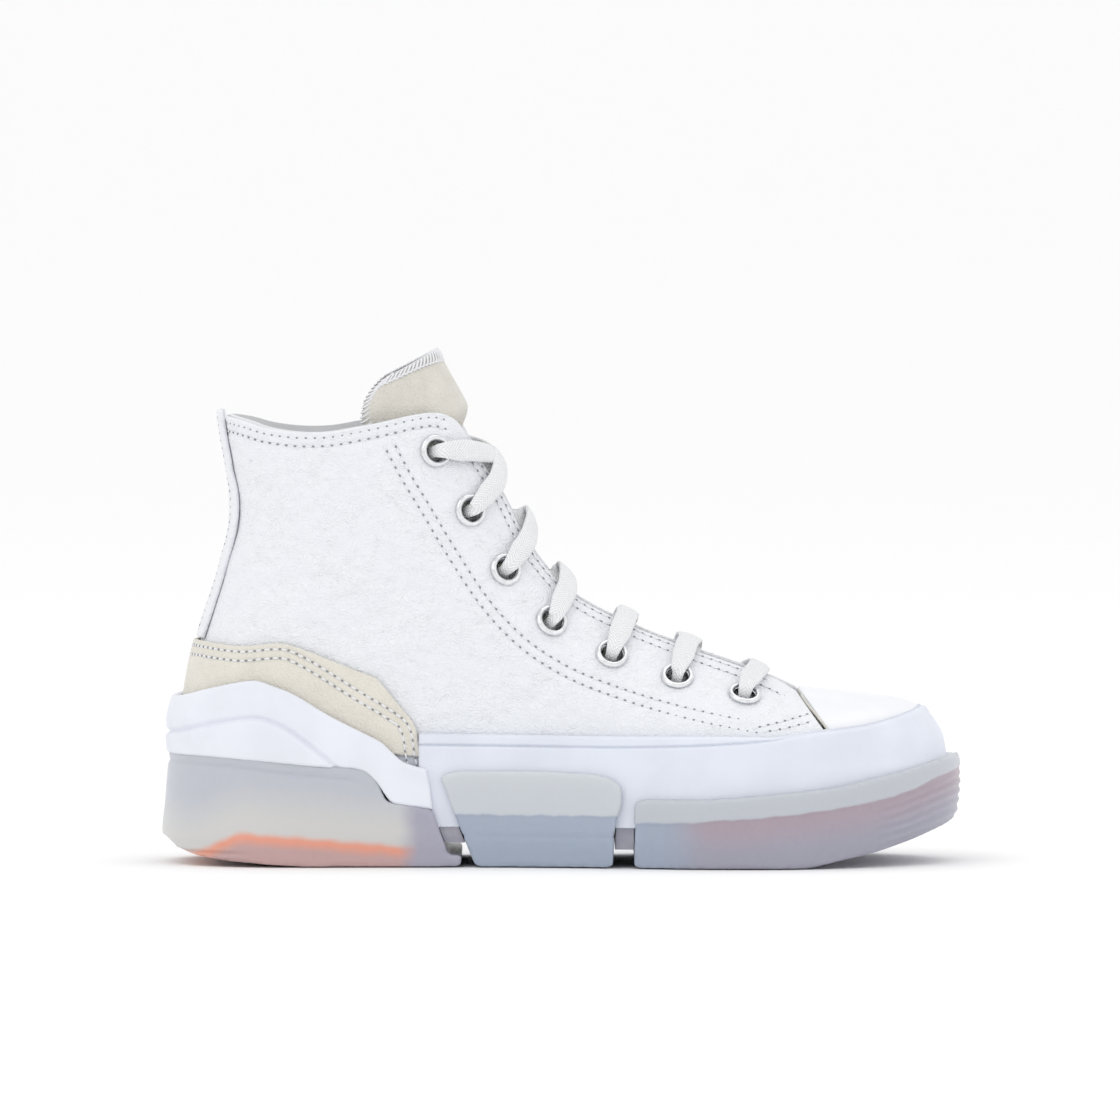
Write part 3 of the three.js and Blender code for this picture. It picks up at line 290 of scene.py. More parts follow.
EYELET_ROW = [(-42.5, 141.3), (-30.7, 121.1), (-18.6, 100.7), (-2.9, 83.2), (17.7, 71.9), (40.4, 64.3),
              (62.8, 58.4)]
collar, throat, facing, eyelet_row = map(line, (COLLAR, THROAT, FACING, EYELET_ROW))
CAP_TOP, CAP_BOTTOM = CAP_REAR[0], CAP_REAR[-1]
NEAR_HEEL = 0.16


def eyelet_places(side):
    x, z = eyelet_row(np.linspace(0, 1, EYELET["count"]))
    return place(x, z, side)


# ---------------------------------------------------------------- meshes

def new_object(name, mesh):
    thing = bpy.data.objects.new(name, mesh)
    bpy.context.scene.collection.objects.link(thing)
    return thing


def smooth_shade(mesh):
    mesh.polygons.foreach_set("use_smooth", np.ones(len(mesh.polygons), bool))


def mesh_of(name, vertices, faces, numbers=None):
    """A mesh from millimetre points and faces, with any named numbers kept on its points."""
    mesh = bpy.data.meshes.new(name)
    mesh.from_pydata((np.asarray(vertices) * MM).tolist(), [], [tuple(f) for f in np.asarray(faces).tolist()])
    for key, values in (numbers or {}).items():
        values = np.asarray(values, np.float32)
        kind = "FLOAT_VECTOR" if values.ndim == 2 else "FLOAT"
        spot = mesh.attributes.new(key, kind, "POINT")
        spot.data.foreach_set("vector" if values.ndim == 2 else "value", values.ravel())
    smooth_shade(mesh)
    return mesh


def tidy_mesh(mesh, gap=2e-5, outward=True):
    """Joins points that coincide and turns the faces outwards."""
    bm = bmesh.new()
    bm.from_mesh(mesh)
    bmesh.ops.remove_doubles(bm, verts=bm.verts, dist=gap)
    bmesh.ops.dissolve_degenerate(bm, edges=bm.edges, dist=gap / 4)
    if outward:
        bmesh.ops.recalc_face_normals(bm, faces=bm.faces)
        if bm.calc_volume(signed=True) < 0:
            bmesh.ops.reverse_faces(bm, faces=bm.faces)
    bm.to_mesh(mesh)
    bm.free()
    smooth_shade(mesh)
    return mesh


def plate_faces(rows, columns):
    """Faces of a closed plate whose two sides are grids, one after the other."""
    n = rows * columns
    i, j = np.meshgrid(np.arange(rows - 1), np.arange(columns - 1), indexing="ij")
    a = (i * columns + j).ravel()
    top = np.column_stack([a, a + 1, a + columns + 1, a + columns])
    low = top[:, ::-1] + n
    j = np.arange(columns - 1)
    end = (rows - 1) * columns
    rims = [np.column_stack([j + n, j + 1 + n, j + 1, j]),
            np.column_stack([end + j, end + j + 1, end + j + 1 + n, end + j + n])]
    i = np.arange(rows - 1) * columns
    last = i + columns - 1
    rims += [np.column_stack([i, i + columns, i + columns + n, i + n]),
             np.column_stack([last + n, last + columns + n, last + columns, last])]
    return np.vstack([top, low, *rims])


def rim_drop(points, edges, radius):
    """How far a face falls away in a round along the grid's named edges."""
    drop = np.zeros(points.shape[:2])
    steps = {"row": np.linalg.norm(np.diff(points, axis=0), axis=2),
             "column": np.linalg.norm(np.diff(points, axis=1), axis=2)}
    run_rows = np.vstack([np.zeros((1, points.shape[1])), np.cumsum(steps["row"], 0)])
    run_columns = np.hstack([np.zeros((points.shape[0], 1)), np.cumsum(steps["column"], 1)])
    far = {"low": run_rows, "high": run_rows[-1:] - run_rows,
           "start": run_columns, "end": run_columns[:, -1:] - run_columns}
    for edge in edges:
        d = np.clip(far[edge] / radius, 0, 1)
        drop = np.maximum(drop, radius * (1 - np.sqrt(1 - (1 - d) ** 2)))
    return drop


def close_to_ends(count, near=0.004):
    """Shares of 0..1, evenly spaced, with extra ones close to both ends for a round edge."""
    extra = near * np.array([0.08, 0.25, 0.5, 1.0])
    return np.unique(np.concatenate([np.linspace(0, 1, count), extra, 1 - extra]))


def sheet(name, points, out, inner, outer, edges=("low", "high", "start", "end"), radius=0.7, numbers=None):
    """A closed sheet over a grid of places between two offsets, with round edges."""
    drop = rim_drop(points, edges, radius)
    upper = points + out * (outer - drop)[..., None]
    lower = points + out * np.broadcast_to(inner, drop.shape)[..., None]
    rows, columns = points.shape[:2]
    vertices = np.vstack([upper.reshape(-1, 3), lower.reshape(-1, 3)])
    both = {key: np.concatenate([np.ravel(v), np.ravel(v)]) for key, v in (numbers or {}).items()}
    return tidy_mesh(mesh_of(name, vertices, plate_faces(rows, columns), both))


def baked(thing):
    """The object's mesh with its modifiers applied; the object loses them."""
    graph = bpy.context.evaluated_depsgraph_get()
    mesh = bpy.data.meshes.new_from_object(thing.evaluated_get(graph))
    thing.modifiers.clear()
    old = thing.data
    thing.data = mesh
    mesh.name = old.name
    bpy.data.meshes.remove(old)
    return mesh


def cut(thing, tool, how="DIFFERENCE"):
    """A boolean of two closed objects; the tool is used up."""
    step = thing.modifiers.new("cut", "BOOLEAN")
    step.operation, step.solver, step.object = how, "MANIFOLD", tool
    baked(thing)
    bpy.data.objects.remove(tool)
    smooth_shade(thing.data)
    return thing


def coordinates(mesh):
    co = np.empty(len(mesh.vertices) * 3, np.float32)
    mesh.vertices.foreach_get("co", co)
    return co.reshape(-1, 3).astype(float) / MM


def directions(mesh):
    no = np.empty(len(mesh.vertices) * 3, np.float32)
    mesh.vertices.foreach_get("normal", no)
    return no.reshape(-1, 3).astype(float)


def move_points(mesh, points):
    mesh.vertices.foreach_set("co", (points * MM).astype(np.float32).ravel())
    mesh.update()


# ---------------------------------------------------------------- finishes

class Finish:
    """A material and the nodes that colour and roughen it, on Object coordinates unless told otherwise."""

    def __init__(self, name, colour, roughness, coordinates="Object", **sockets):
        self.paint = bpy.data.materials.new(name)
        self.paint.use_nodes = True
        self.tree = self.paint.node_tree
        self.shader = self.tree.nodes["Principled BSDF"]
        self.shader.inputs["Base Color"].default_value = (*colour, 1)
        self.shader.inputs["Roughness"].default_value = roughness
        for key, value in sockets.items():
            self.shader.inputs[key.replace("_", " ")].default_value = value
        self.at = self.node("ShaderNodeTexCoord").outputs[coordinates]
        self.height = None

    def node(self, kind, inputs=None, **settings):
        made = self.tree.nodes.new(kind)
        for key, value in settings.items():
            setattr(made, key, value)
        for key, value in (inputs or {}).items():
            socket = made.inputs[key]
            if isinstance(value, bpy.types.NodeSocket):
                self.tree.links.new(value, socket)
            else:
                socket.default_value = value
        return made

    def sum(self, operation, a, b=0.0, c=0.0, clamp=False):
        given = {0: a, 1: b, 2: c}
        return self.node("ShaderNodeMath", given, operation=operation, use_clamp=clamp).outputs[0]

    def noise(self, size, detail=3.0, roughness=0.5, at=None, distortion=0.0):
        """Noise whose features are about size millimetres across."""
        return self.node("ShaderNodeTexNoise", {
            "Vector": at or self.at, "Scale": 1 / (size * MM), "Detail": detail, "Roughness": roughness,
            "Distortion": distortion}).outputs["Fac"]

    def cells(self, size, feature="DISTANCE_TO_EDGE", at=None, randomness=1.0):
        kind = {"Vector": at or self.at, "Scale": 1 / (size * MM), "Randomness": randomness}
        return self.node("ShaderNodeTexVoronoi", kind, feature=feature).outputs["Distance"]

    def number(self, name):
        return self.node("ShaderNodeAttribute", attribute_name=name).outputs["Fac"]

    def axis(self, index):
        return self.node("ShaderNodeSeparateXYZ", {0: self.at}).outputs[index]

    def band(self, value, start, end):
        """0..1 as value goes from start to end, eased."""
        return self.node("ShaderNodeMapRange", {"Value": value, "From Min": start, "From Max": end},
                         interpolation_type="SMOOTHSTEP").outputs["Result"]

    def tint(self, share, first, second):
        """A colour between two, each a colour or a colour socket."""
        made = self.node("ShaderNodeMix", {"Factor": share}, data_type="RGBA", clamp_factor=True)
        for socket, colour in ((made.inputs[6], first), (made.inputs[7], second)):
            if isinstance(colour, bpy.types.NodeSocket):
                self.tree.links.new(colour, socket)
            else:
                socket.default_value = (*colour, 1)
        return made.outputs[2]

    def colour(self, socket):
        self.tree.links.new(socket, self.shader.inputs["Base Color"])

    def rough(self, share, low, high):
        spread = self.node("ShaderNodeMapRange", {"Value": share, "To Min": low, "To Max": high})
        self.tree.links.new(spread.outputs["Result"], self.shader.inputs["Roughness"])

    def relief(self, height, depth, strength=1.0):
        """Adds a bump whose full height is depth millimetres, over any that is there."""
        inputs = {"Height": height, "Strength": strength, "Distance": depth * MM}
        if self.height is not None:
            inputs["Normal"] = self.height
        self.height = self.node("ShaderNodeBump", inputs).outputs["Normal"]
        self.tree.links.new(self.height, self.shader.inputs["Normal"])


def leather_finish(name, grain=1.0, crease=1.0):
    """White tumbled leather: long pebbles of grain, finer wrinkles between them and broad soft creases; the
    creases between the pebbles are darkened with painted shade.
    """
    f = Finish(name, (0.85, 0.865, 0.9), 0.44, Specular_IOR_Level=0.42, Coat_Weight=0.06, Coat_Roughness=0.35)
    warp = f.node("ShaderNodeTexNoise", {"Vector": f.at, "Scale": 1 / (6 * MM),
                                         "Detail": 2.0}).outputs["Color"]
    bent = f.node("ShaderNodeMixRGB", {"Fac": 0.006, "Color1": f.at, "Color2": warp},
                  blend_type="ADD").outputs[0]
    long_way = f.node("ShaderNodeMapping", {"Vector": bent, "Rotation": (0, 0.55, 0),
                                            "Scale": (1.0, 1.0, 1.9)}).outputs[0]
    pebble = f.band(f.cells(2.1, at=long_way), 0.0, 0.3)
    wrinkle = f.band(f.cells(1.05, at=long_way), 0.0, 0.35)
    fine = f.noise(0.45, 3.0)
    patch = f.band(f.noise(15, 2.0), 0.35, 0.7)
    folds = f.node("ShaderNodeTexNoise", {"Vector": long_way, "Scale": 1 / (16 * MM), "Detail": 1.0,
                                          "Roughness": 0.5}).outputs["Fac"]
    f.relief(folds, 0.6 * crease, 0.5)
    f.relief(f.sum("MULTIPLY", pebble, f.sum("ADD", f.sum("MULTIPLY", patch, 0.35), 0.65)), 0.22 * grain, 0.7)
    f.relief(wrinkle, 0.07 * grain, 0.5)
    f.relief(fine, 0.012 * grain, 0.4)
    # Painted shade: the creases between the grain's pebbles are tinted towards a darker grey, up to 0.14 of
    # the way.
    valley_shade = f.sum("MULTIPLY", f.sum("SUBTRACT", 1.0, pebble), 0.14)
    f.colour(f.tint(valley_shade, f.tint(patch, (0.82, 0.835, 0.87), (0.83, 0.845, 0.875)), (0.68, 0.70, 0.745)))
    f.rough(fine, 0.38, 0.54)
    return f


def smooth_leather_finish():
    f = Finish("smooth_leather", (0.84, 0.855, 0.885), 0.36, Specular_IOR_Level=0.45, Coat_Weight=0.1,
               Coat_Roughness=0.3)
    broad, fine = f.noise(22, 2.0), f.noise(0.7, 4.0)
    f.relief(f.noise(7, 3.0), 0.12, 0.5)
    f.relief(f.cells(0.9), 0.03, 0.4)
    f.relief(fine, 0.02, 0.5)
    f.colour(f.tint(f.band(broad, 0.35, 0.7), (0.82, 0.84, 0.875), (0.87, 0.88, 0.9)))
    f.rough(fine, 0.3, 0.44)
    return f


def suede_finish(name, deep, light):
    """Napped suede: short fibres, brushed patches and a soft sheen."""
    f = Finish(name, light, 0.95, Specular_IOR_Level=0.1, Sheen_Weight=0.35, Sheen_Roughness=0.5)
    patches, fibres, specks = f.noise(8, 4.0, 0.6), f.noise(0.35, 4.0, 0.7), f.cells(0.9, "F1")
    f.colour(f.tint(f.band(fibres, 0.3, 0.7), f.tint(f.band(patches, 0.3, 0.7), deep, light),
                    tuple(min(1, c * 1.09) for c in light)))
    f.relief(patches, 0.25, 0.4)
    f.relief(specks, 0.3, 0.6)
    f.relief(fibres, 0.22, 0.8)
    return f


def cloth_finish(name, colour, pitch=0.7):
    """A woven cloth on Object coordinates."""
    f = Finish(name, colour, 0.9, Specular_IOR_Level=0.15, Sheen_Weight=0.2)
    turn = 2 * math.pi / (pitch * MM)
    x = f.sum("SINE", f.sum("MULTIPLY", f.axis(0), turn))
    z = f.sum("SINE", f.sum("MULTIPLY", f.axis(2), turn))
    weave = f.band(f.sum("MULTIPLY", x, z), -0.8, 0.8)
    f.relief(weave, 0.12, 0.7)
    f.relief(f.noise(0.4, 3.0), 0.05, 0.5)
    f.colour(f.tint(weave, tuple(c * 0.86 for c in colour), colour))
    return f


def knit_finish(name, colour):
    """A foam-backed knit, with a mottle of its own."""
    f = Finish(name, colour, 0.92, Specular_IOR_Level=0.12, Sheen_Weight=0.25)
    loops, mottle = f.cells(1.1, "F1"), f.noise(5, 3.0)
    f.relief(loops, 0.25, 0.6)
    f.relief(f.noise(0.4, 2.0), 0.05, 0.5)
    f.colour(f.tint(f.band(loops, 0.1, 0.6), colour, f.tint(mottle, tuple(c * 0.84 for c in colour), colour)))
    return f


def foam_finish(name, colour):
    """Satin moulded foam: barely mottled, with a fine skin."""
    f = Finish(name, colour, 0.5, Specular_IOR_Level=0.35, Subsurface_Weight=0.12, Subsurface_Scale=0.004)
    f.shader.inputs["Subsurface Radius"].default_value = (1.0, 1.0, 1.0)
    broad, fine = f.noise(18, 3.0), f.noise(0.45, 3.0)
    darker, lighter = tuple(c * 0.965 for c in colour), tuple(min(1, c * 1.02) for c in colour)
    f.colour(f.tint(f.band(broad, 0.3, 0.7), darker, lighter))
    f.relief(fine, 0.03, 0.5)
    f.relief(broad, 0.12, 0.3)
    f.rough(f.noise(3, 3.0), 0.42, 0.56)
    return f


def srgb(red, green, blue):
    """A colour given as a screen shows it, 10..255 in each channel, as linear light."""
    return tuple(((c / 255 + 0.055) / 1.055) ** 2.4 for c in (red, green, blue))


def frosted_finish(name, top, above, near, deep, cool, cool_from, cool_to, whole=False, depth=9.0):
    """Frosted clear rubber with a milky band over a tinted body. The piece's own number "band" is the height
    over the border in millimetres; cool takes over from x = cool_from to cool_to."""
    f = Finish(name, above, 0.34, Specular_IOR_Level=0.5, Transmission_Weight=0.12, IOR=1.45,
               Subsurface_Weight=0.35, Subsurface_Scale=0.005, Coat_Weight=0.15, Coat_Roughness=0.2)
    f.shader.inputs["Subsurface Radius"].default_value = (1.0, 1.0, 1.0)
    x = f.axis(0)
    cloud = f.sum("SUBTRACT", f.noise(9, 3.0, 0.55), 0.5)
    level = f.sum("ADD", f.number("band"), f.sum("MULTIPLY", cloud, 2.2))
    body = f.tint(f.band(level, -1.0, -depth), near, deep)
    cooled = f.band(f.sum("ADD", x, f.sum("MULTIPLY", cloud, 5 * MM)), cool_from * MM, cool_to * MM)
    milky = f.tint(f.band(level, 3, 22), above, top)
    if whole:
        shade = f.tint(cooled, f.tint(f.band(level, -1.6, 1.4), body, milky), cool)
    else:
        shade = f.tint(f.band(level, -0.5, 0.5), f.tint(cooled, body, cool), milky)
    f.colour(f.tint(f.sum("MULTIPLY", f.noise(2.2, 3.0), 0.1), shade, (0.8, 0.81, 0.84)))
    f.rough(f.noise(1.2, 4.0), 0.26, 0.44)
    f.relief(f.noise(0.6, 3.0), 0.04, 0.5)
    return f


def clear_finish(name, deep, light):
    """Frosted clear rubber of one tint, with soft clouds in it."""
    f = Finish(name, light, 0.34, Specular_IOR_Level=0.5, Transmission_Weight=0.12, IOR=1.45,
               Subsurface_Weight=0.35, Subsurface_Scale=0.004, Coat_Weight=0.15, Coat_Roughness=0.2)
    f.colour(f.tint(f.band(f.noise(7, 3.0), 0.35, 0.65), deep, light))
    f.rough(f.noise(1.2, 4.0), 0.26, 0.44)
    f.relief(f.noise(0.6, 3.0), 0.04, 0.5)
    return f


def thread_finish():
    f = Finish("stitch_thread", (0.86, 0.87, 0.9), 0.6, Specular_IOR_Level=0.3, Sheen_Weight=0.2)
    twist = f.node("ShaderNodeTexWave", {"Vector": f.at, "Scale": 900.0, "Distortion": 2.0}).outputs["Fac"]
    f.relief(twist, 0.06, 0.6)
    f.colour(f.tint(twist, (0.74, 0.75, 0.79), (0.9, 0.91, 0.93)))
    return f


# Painted shade: dark dots that stand for the shade inside the needle holes between stitches.
def hole_shade_finish():
    f = Finish("needle_hole", (0.2, 0.2, 0.225), 0.9, Specular_IOR_Level=0.1)
    f.colour(f.tint(f.noise(0.8, 2.0), (0.2, 0.2, 0.225), (0.36, 0.36, 0.4)))
    return f


def metal_finish():
    f = Finish("plated_metal", (0.62, 0.63, 0.65), 0.2, Metallic=1.0)
    wear, fine = f.noise(2.2, 4.0), f.noise(0.3, 2.0)
    f.colour(f.tint(f.band(wear, 0.35, 0.7), (0.72, 0.73, 0.75), (0.84, 0.85, 0.86)))
    f.rough(wear, 0.08, 0.2)
    f.relief(fine, 0.01, 0.4)
    return f


def lace_finish():
    """Flat woven lace: a herringbone on the ribbon's own map, u along it and v across, in millimetres."""
    f = Finish("lace_weave", (0.86, 0.875, 0.885), 0.82, "UV", Specular_IOR_Level=0.18, Sheen_Weight=0.3)
    u, v = f.axis(0), f.axis(1)
    slant = f.sum("ADD", u, f.sum("MULTIPLY", f.sum("ABSOLUTE", v), 0.9))
    rib = f.sum("SINE", f.sum("MULTIPLY", slant, 2 * math.pi / 1.15))
    cross = f.sum("SINE", f.sum("MULTIPLY", v, 2 * math.pi / 0.62))
    weave = f.band(f.sum("ADD", rib, f.sum("MULTIPLY", cross, 0.45)), -1.2, 1.2)
    f.relief(weave, 0.26, 0.8)
    fuzz = f.node("ShaderNodeTexNoise", {"Vector": f.at, "Scale": 3.0, "Detail": 4.0}).outputs["Fac"]
    f.relief(fuzz, 0.12, 0.5)
    f.colour(f.tint(weave, (0.76, 0.775, 0.795), (0.92, 0.93, 0.94)))
    return f


def film_finish():
    f = Finish("aglet_film", (0.85, 0.86, 0.88), 0.15, Specular_IOR_Level=0.5, Coat_Weight=0.5)
    ripple = f.noise(1.5, 2.0)
    f.relief(ripple, 0.08, 0.4)
    f.colour(f.tint(ripple, (0.78, 0.79, 0.82), (0.9, 0.91, 0.93)))
    return f


def board_finish(name, light, dark):
    f = Finish(name, light, 0.85, Specular_IOR_Level=0.2)
    fleck = f.noise(1.2, 5.0, 0.7)
    f.colour(f.tint(f.band(fleck, 0.35, 0.65), dark, light))
    f.relief(fleck, 0.1, 0.5)
    return f


LEATHER_FINISH = leather_finish("grained_leather")
STRIP_FINISH = leather_finish("strip_leather", grain=0.8, crease=0.3)
CAP_FINISH = smooth_leather_finish()
OVERLAY_FINISH = suede_finish("heel_suede", (0.66, 0.63, 0.56), (0.745, 0.715, 0.645))
TONGUE_FINISH = suede_finish("tongue_suede", (0.57, 0.545, 0.49), (0.68, 0.655, 0.60))
LINING_FINISH = cloth_finish("lining_cloth", (0.87, 0.88, 0.9))
SOCK_FINISH = knit_finish("sock_knit", (0.76, 0.77, 0.78))
PAD_FINISH = knit_finish("tongue_knit", (0.79, 0.79, 0.79))
FOAM_FINISH = foam_finish("white_foam", (0.735, 0.765, 0.845))
CLIP_FINISH = foam_finish("clip_plastic", (0.78, 0.80, 0.865))
HEEL_RUBBER = frosted_finish("frosted_heel", srgb(194, 198, 207), srgb(214, 213, 211), srgb(240, 162, 134),
                             srgb(202, 168, 166), srgb(172, 170, 186), -56, -48, whole=True, depth=5.5)
MID_RUBBER = frosted_finish("frosted_middle", srgb(212, 217, 220), srgb(206, 211, 217), srgb(168, 178, 196),
                            srgb(164, 176, 194), srgb(164, 176, 194), 300, 310)
TOE_RUBBER = frosted_finish("frosted_toe", srgb(192, 198, 206), srgb(196, 200, 207), srgb(174, 158, 170),
                            srgb(166, 165, 180), srgb(164, 174, 192), 52, 34, depth=14.0)
LUG = clear_finish("frosted_plain", srgb(176, 174, 186), srgb(190, 188, 196))
HEEL_LUG = clear_finish("frosted_rose", srgb(196, 166, 166), srgb(204, 178, 176))
THREAD_FINISH, HOLE_SHADE_FINISH, METAL_FINISH = thread_finish(), hole_shade_finish(), metal_finish()
LACE_FINISH, FILM_FINISH = lace_finish(), film_finish()
BOARD_FINISH = board_finish("insole_board", (0.62, 0.5, 0.34), (0.5, 0.38, 0.25))
FIBRE_FINISH = board_finish("stiff_fibre", (0.68, 0.65, 0.57), (0.57, 0.54, 0.46))
CUSHION_FINISHES = {"heel_cushion": foam_finish("orange_foam", (0.78, 0.32, 0.19)),
                    "forefoot_cushion": foam_finish("pink_foam", (0.6, 0.33, 0.33))}


def dress(mesh, finish):
    mesh.materials.clear()
    mesh.materials.append(finish.paint)


def settle(name, mesh, finish, body, slot, *nodes):
    """Makes a piece of a finished mesh: its finish, its body and the nodes it stands for. The slot is not
    used.
    """
    piece = new_object(name, mesh)
    dress(mesh, finish)
    if body:
        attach(piece, body)
    if nodes:
        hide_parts(*nodes)
    return piece


# ---------------------------------------------------------------- what repeats: stitches, eyelets, lugs

def new_tree(name, inputs):
    """A geometry tree with a geometry in and out, and named inputs: (name, kind, value)."""
    tree = bpy.data.node_groups.new(name, "GeometryNodeTree")
    tree.interface.new_socket("Geometry", in_out="INPUT", socket_type="NodeSocketGeometry")
    tree.interface.new_socket("Geometry", in_out="OUTPUT", socket_type="NodeSocketGeometry")
    for key, kind, value in inputs:
        socket = tree.interface.new_socket(key, in_out="INPUT", socket_type="NodeSocket" + kind)
        if value is not None:
            socket.default_value = value
    return tree


def add_node(tree, kind, inputs=None, **settings):
    made = tree.nodes.new(kind)
    for key, value in settings.items():
        setattr(made, key, value)
    for key, value in (inputs or {}).items():
        socket = made.inputs[key]
        if isinstance(value, bpy.types.NodeSocket):
            tree.links.new(value, socket)
        else:
            socket.default_value = value
    return made


def named_vector(tree, name):
    read = add_node(tree, "GeometryNodeInputNamedAttribute", {"Name": name}, data_type="FLOAT_VECTOR")
    return read.outputs[0]


def finish_tree(tree, geometry, material):
    """Ends a tree in real, finished geometry."""
    real = add_node(tree, "GeometryNodeRealizeInstances", {"Geometry": geometry}).outputs[0]
    painted = add_node(tree, "GeometryNodeSetMaterial", {"Geometry": real, "Material": material}).outputs[0]
    smooth = add_node(tree, "GeometryNodeSetShadeSmooth", {0: painted}).outputs[0]
    tree.links.new(smooth, add_node(tree, "NodeGroupOutput").inputs[0])


def stitch_tree():
    """Thread stitches at an even pitch along guide lines; each lies along its line, humped outwards."""
    tree = new_tree("stitch_row", [("Pitch", "Float", 3.1 * MM), ("Stitch length", "Float", 2.3 * MM),
                                   ("Thread width", "Float", 0.75 * MM), ("Thread height", "Float", 0.6 * MM),
                                   ("Shift", "Float", 0.0), ("Thread", "Material", None)])
    given = add_node(tree, "NodeGroupInput").outputs
    guides = add_node(tree, "GeometryNodeMeshToCurve", {0: given["Geometry"]}).outputs[0]
    spaced = add_node(tree, "GeometryNodeResampleCurve", {"Curve": guides, "Length": given["Pitch"]},
                      mode="LENGTH").outputs[0]
    ball = add_node(tree, "GeometryNodeMeshUVSphere", {"Segments": 8, "Rings": 5, "Radius": 0.5}).outputs[0]
    size = add_node(tree, "ShaderNodeCombineXYZ", {0: given["Stitch length"], 1: given["Thread width"],
                                                   2: given["Thread height"]}).outputs[0]
    stitch = add_node(tree, "GeometryNodeTransform", {"Geometry": ball, "Scale": size}).outputs[0]
    along = add_node(tree, "GeometryNodeInputTangent").outputs[0]
    ahead = add_node(tree, "ShaderNodeVectorMath", {0: along, "Scale": given["Shift"]},
                     operation="SCALE").outputs[0]
    spaced = add_node(tree, "GeometryNodeSetPosition", {"Geometry": spaced, "Offset": ahead}).outputs[0]
    turn = add_node(tree, "FunctionNodeAxesToRotation", {"Primary Axis": along,
                                                         "Secondary Axis": named_vector(tree, "out")},
                    primary_axis="X", secondary_axis="Z").outputs[0]
    rows = add_node(tree, "GeometryNodeInstanceOnPoints", {"Points": spaced, "Instance": stitch,
                                                           "Rotation": turn}).outputs[0]
    finish_tree(tree, rows, given["Thread"])
    return tree


def item_tree():
    """One item set on every point, its Z along the point's out and its X along the point's way."""
    tree = new_tree("set_on_points", [("Item", "Object", None), ("Size", "Float", 1.0),
                                      ("Finish", "Material", None)])
    given = add_node(tree, "NodeGroupInput").outputs
    item = add_node(tree, "GeometryNodeObjectInfo", {"Object": given["Item"]}).outputs["Geometry"]
    points = add_node(tree, "GeometryNodeMeshToPoints", {"Mesh": given["Geometry"]}).outputs[0]
    turn = add_node(tree, "FunctionNodeAxesToRotation", {"Primary Axis": named_vector(tree, "out"),
                                                         "Secondary Axis": named_vector(tree, "way")},
                    primary_axis="Z", secondary_axis="X").outputs[0]
    rows = add_node(tree, "GeometryNodeInstanceOnPoints",
                    {"Points": points, "Instance": item, "Rotation": turn, "Scale": given["Size"]}).outputs[0]
    finish_tree(tree, rows, given["Finish"])
    return tree


STITCHES, ITEMS = stitch_tree(), item_tree()


def grow(name, mesh, tree, values):
    """Runs a tree on a mesh, with its named inputs set, and returns the plain mesh."""
    thing = new_object(name + "_guide", mesh)
    step = thing.modifiers.new("grow", "NODES")
    step.node_group = tree
    for socket in tree.interface.items_tree:
        if socket.in_out == "INPUT" and socket.name in values:
            step[socket.identifier] = values[socket.name]
    grown = baked(thing)
    grown.name = name
    bpy.data.objects.remove(thing)
    return grown


def guide_mesh(name, rows):
    """Guide lines: each row is points and outward directions, in millimetres."""
    points = np.vstack([p for p, _ in rows])
    outs = np.vstack([o for _, o in rows])
    edges, start = [], 0
    for p, _ in rows:
        edges += [(start + k, start + k + 1) for k in range(len(p) - 1)]
        start += len(p)
    mesh = bpy.data.meshes.new(name)
    mesh.from_pydata((points * MM).tolist(), edges, [])
    spot = mesh.attributes.new("out", "FLOAT_VECTOR", "POINT")
    spot.data.foreach_set("vector", outs.astype(np.float32).ravel())
    return mesh


def sew(name, rows, body=SHOE, pitch=3.1, length=2.2, width=0.8, height=0.5, holes=True):
    """Stitches along rows of places, with dark dots of painted shade for the needle holes between them. The
    rows lie on the faces they hold.
    """
    kinds = [(name, length, width, height, 0.0, THREAD_FINISH)]
    # The needle holes are dark dots of painted shade, set half a pitch along from the stitches.
    if holes:
        kinds.append((name + "_holes", 0.95, 0.74, 0.4, 0.5, HOLE_SHADE_FINISH))
    pieces = []
    for key, long, wide, high, shift, finish in kinds:
        values = {"Pitch": pitch * MM, "Stitch length": long * MM, "Thread width": wide * MM,
                  "Thread height": high * MM, "Shift": shift * pitch * MM, "Thread": finish.paint}
        piece = new_object(key, grow(key, guide_mesh(key, rows), STITCHES, values))
        if body:
            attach(piece, body)
        pieces.append(piece)
    return pieces


def set_items(name, item, points, outs, ways, finish, body, slot, nodes=(), size=1.0):
    mesh = bpy.data.meshes.new(name)
    mesh.from_pydata((np.asarray(points) * MM).tolist(), [], [])
    for key, values in (("out", outs), ("way", ways)):
        spot = mesh.attributes.new(key, "FLOAT_VECTOR", "POINT")
        spot.data.foreach_set("vector", np.asarray(values, np.float32).ravel())
    grown = grow(name, mesh, ITEMS, {"Item": item, "Size": size, "Finish": finish.paint})
    bpy.data.objects.remove(item)
    return settle(name, grown, finish, body, slot, *nodes)


def on_face(points, side, offset, trim=(0, 1)):
    """A side-view line laid on the upper, offset from the leather: points and outward directions."""
    run = lengths(points)
    keep = (run >= trim[0] * run[-1]) & (run <= trim[1] * run[-1])
    at, out = place(points[keep, 0], points[keep, 1], side)
    return at + out * offset, out


# ---------------------------------------------------------------- the stitch lines of a quarter

COLLAR_EDGE = COLLAR[:11]
SEWN = {
    "collar_upper": (beside(COLLAR_EDGE, 1.7), (0.015, 1)),
    "collar_lower": (beside(COLLAR_EDGE, 4.6), (0.02, 0.985)),
    "facing_inner": (beside(FACING, 0.2), (0.0, 0.96)),
    "facing_outer": (beside(FACING, 3.6), (0.0, 1.0)),
    "throat": (beside(THROAT, 3.1), (0.03, 0.97)),
    "throat_edge": (beside(THROAT, 1.0), (0.05, 0.93)),
}
TACKS = [np.array([(66.5, 47.6), (70.5, 48.6), (76, 49.8), (83, 51.6)]),
         np.array([(70, 46.4), (76, 47.4), (83, 49)])]


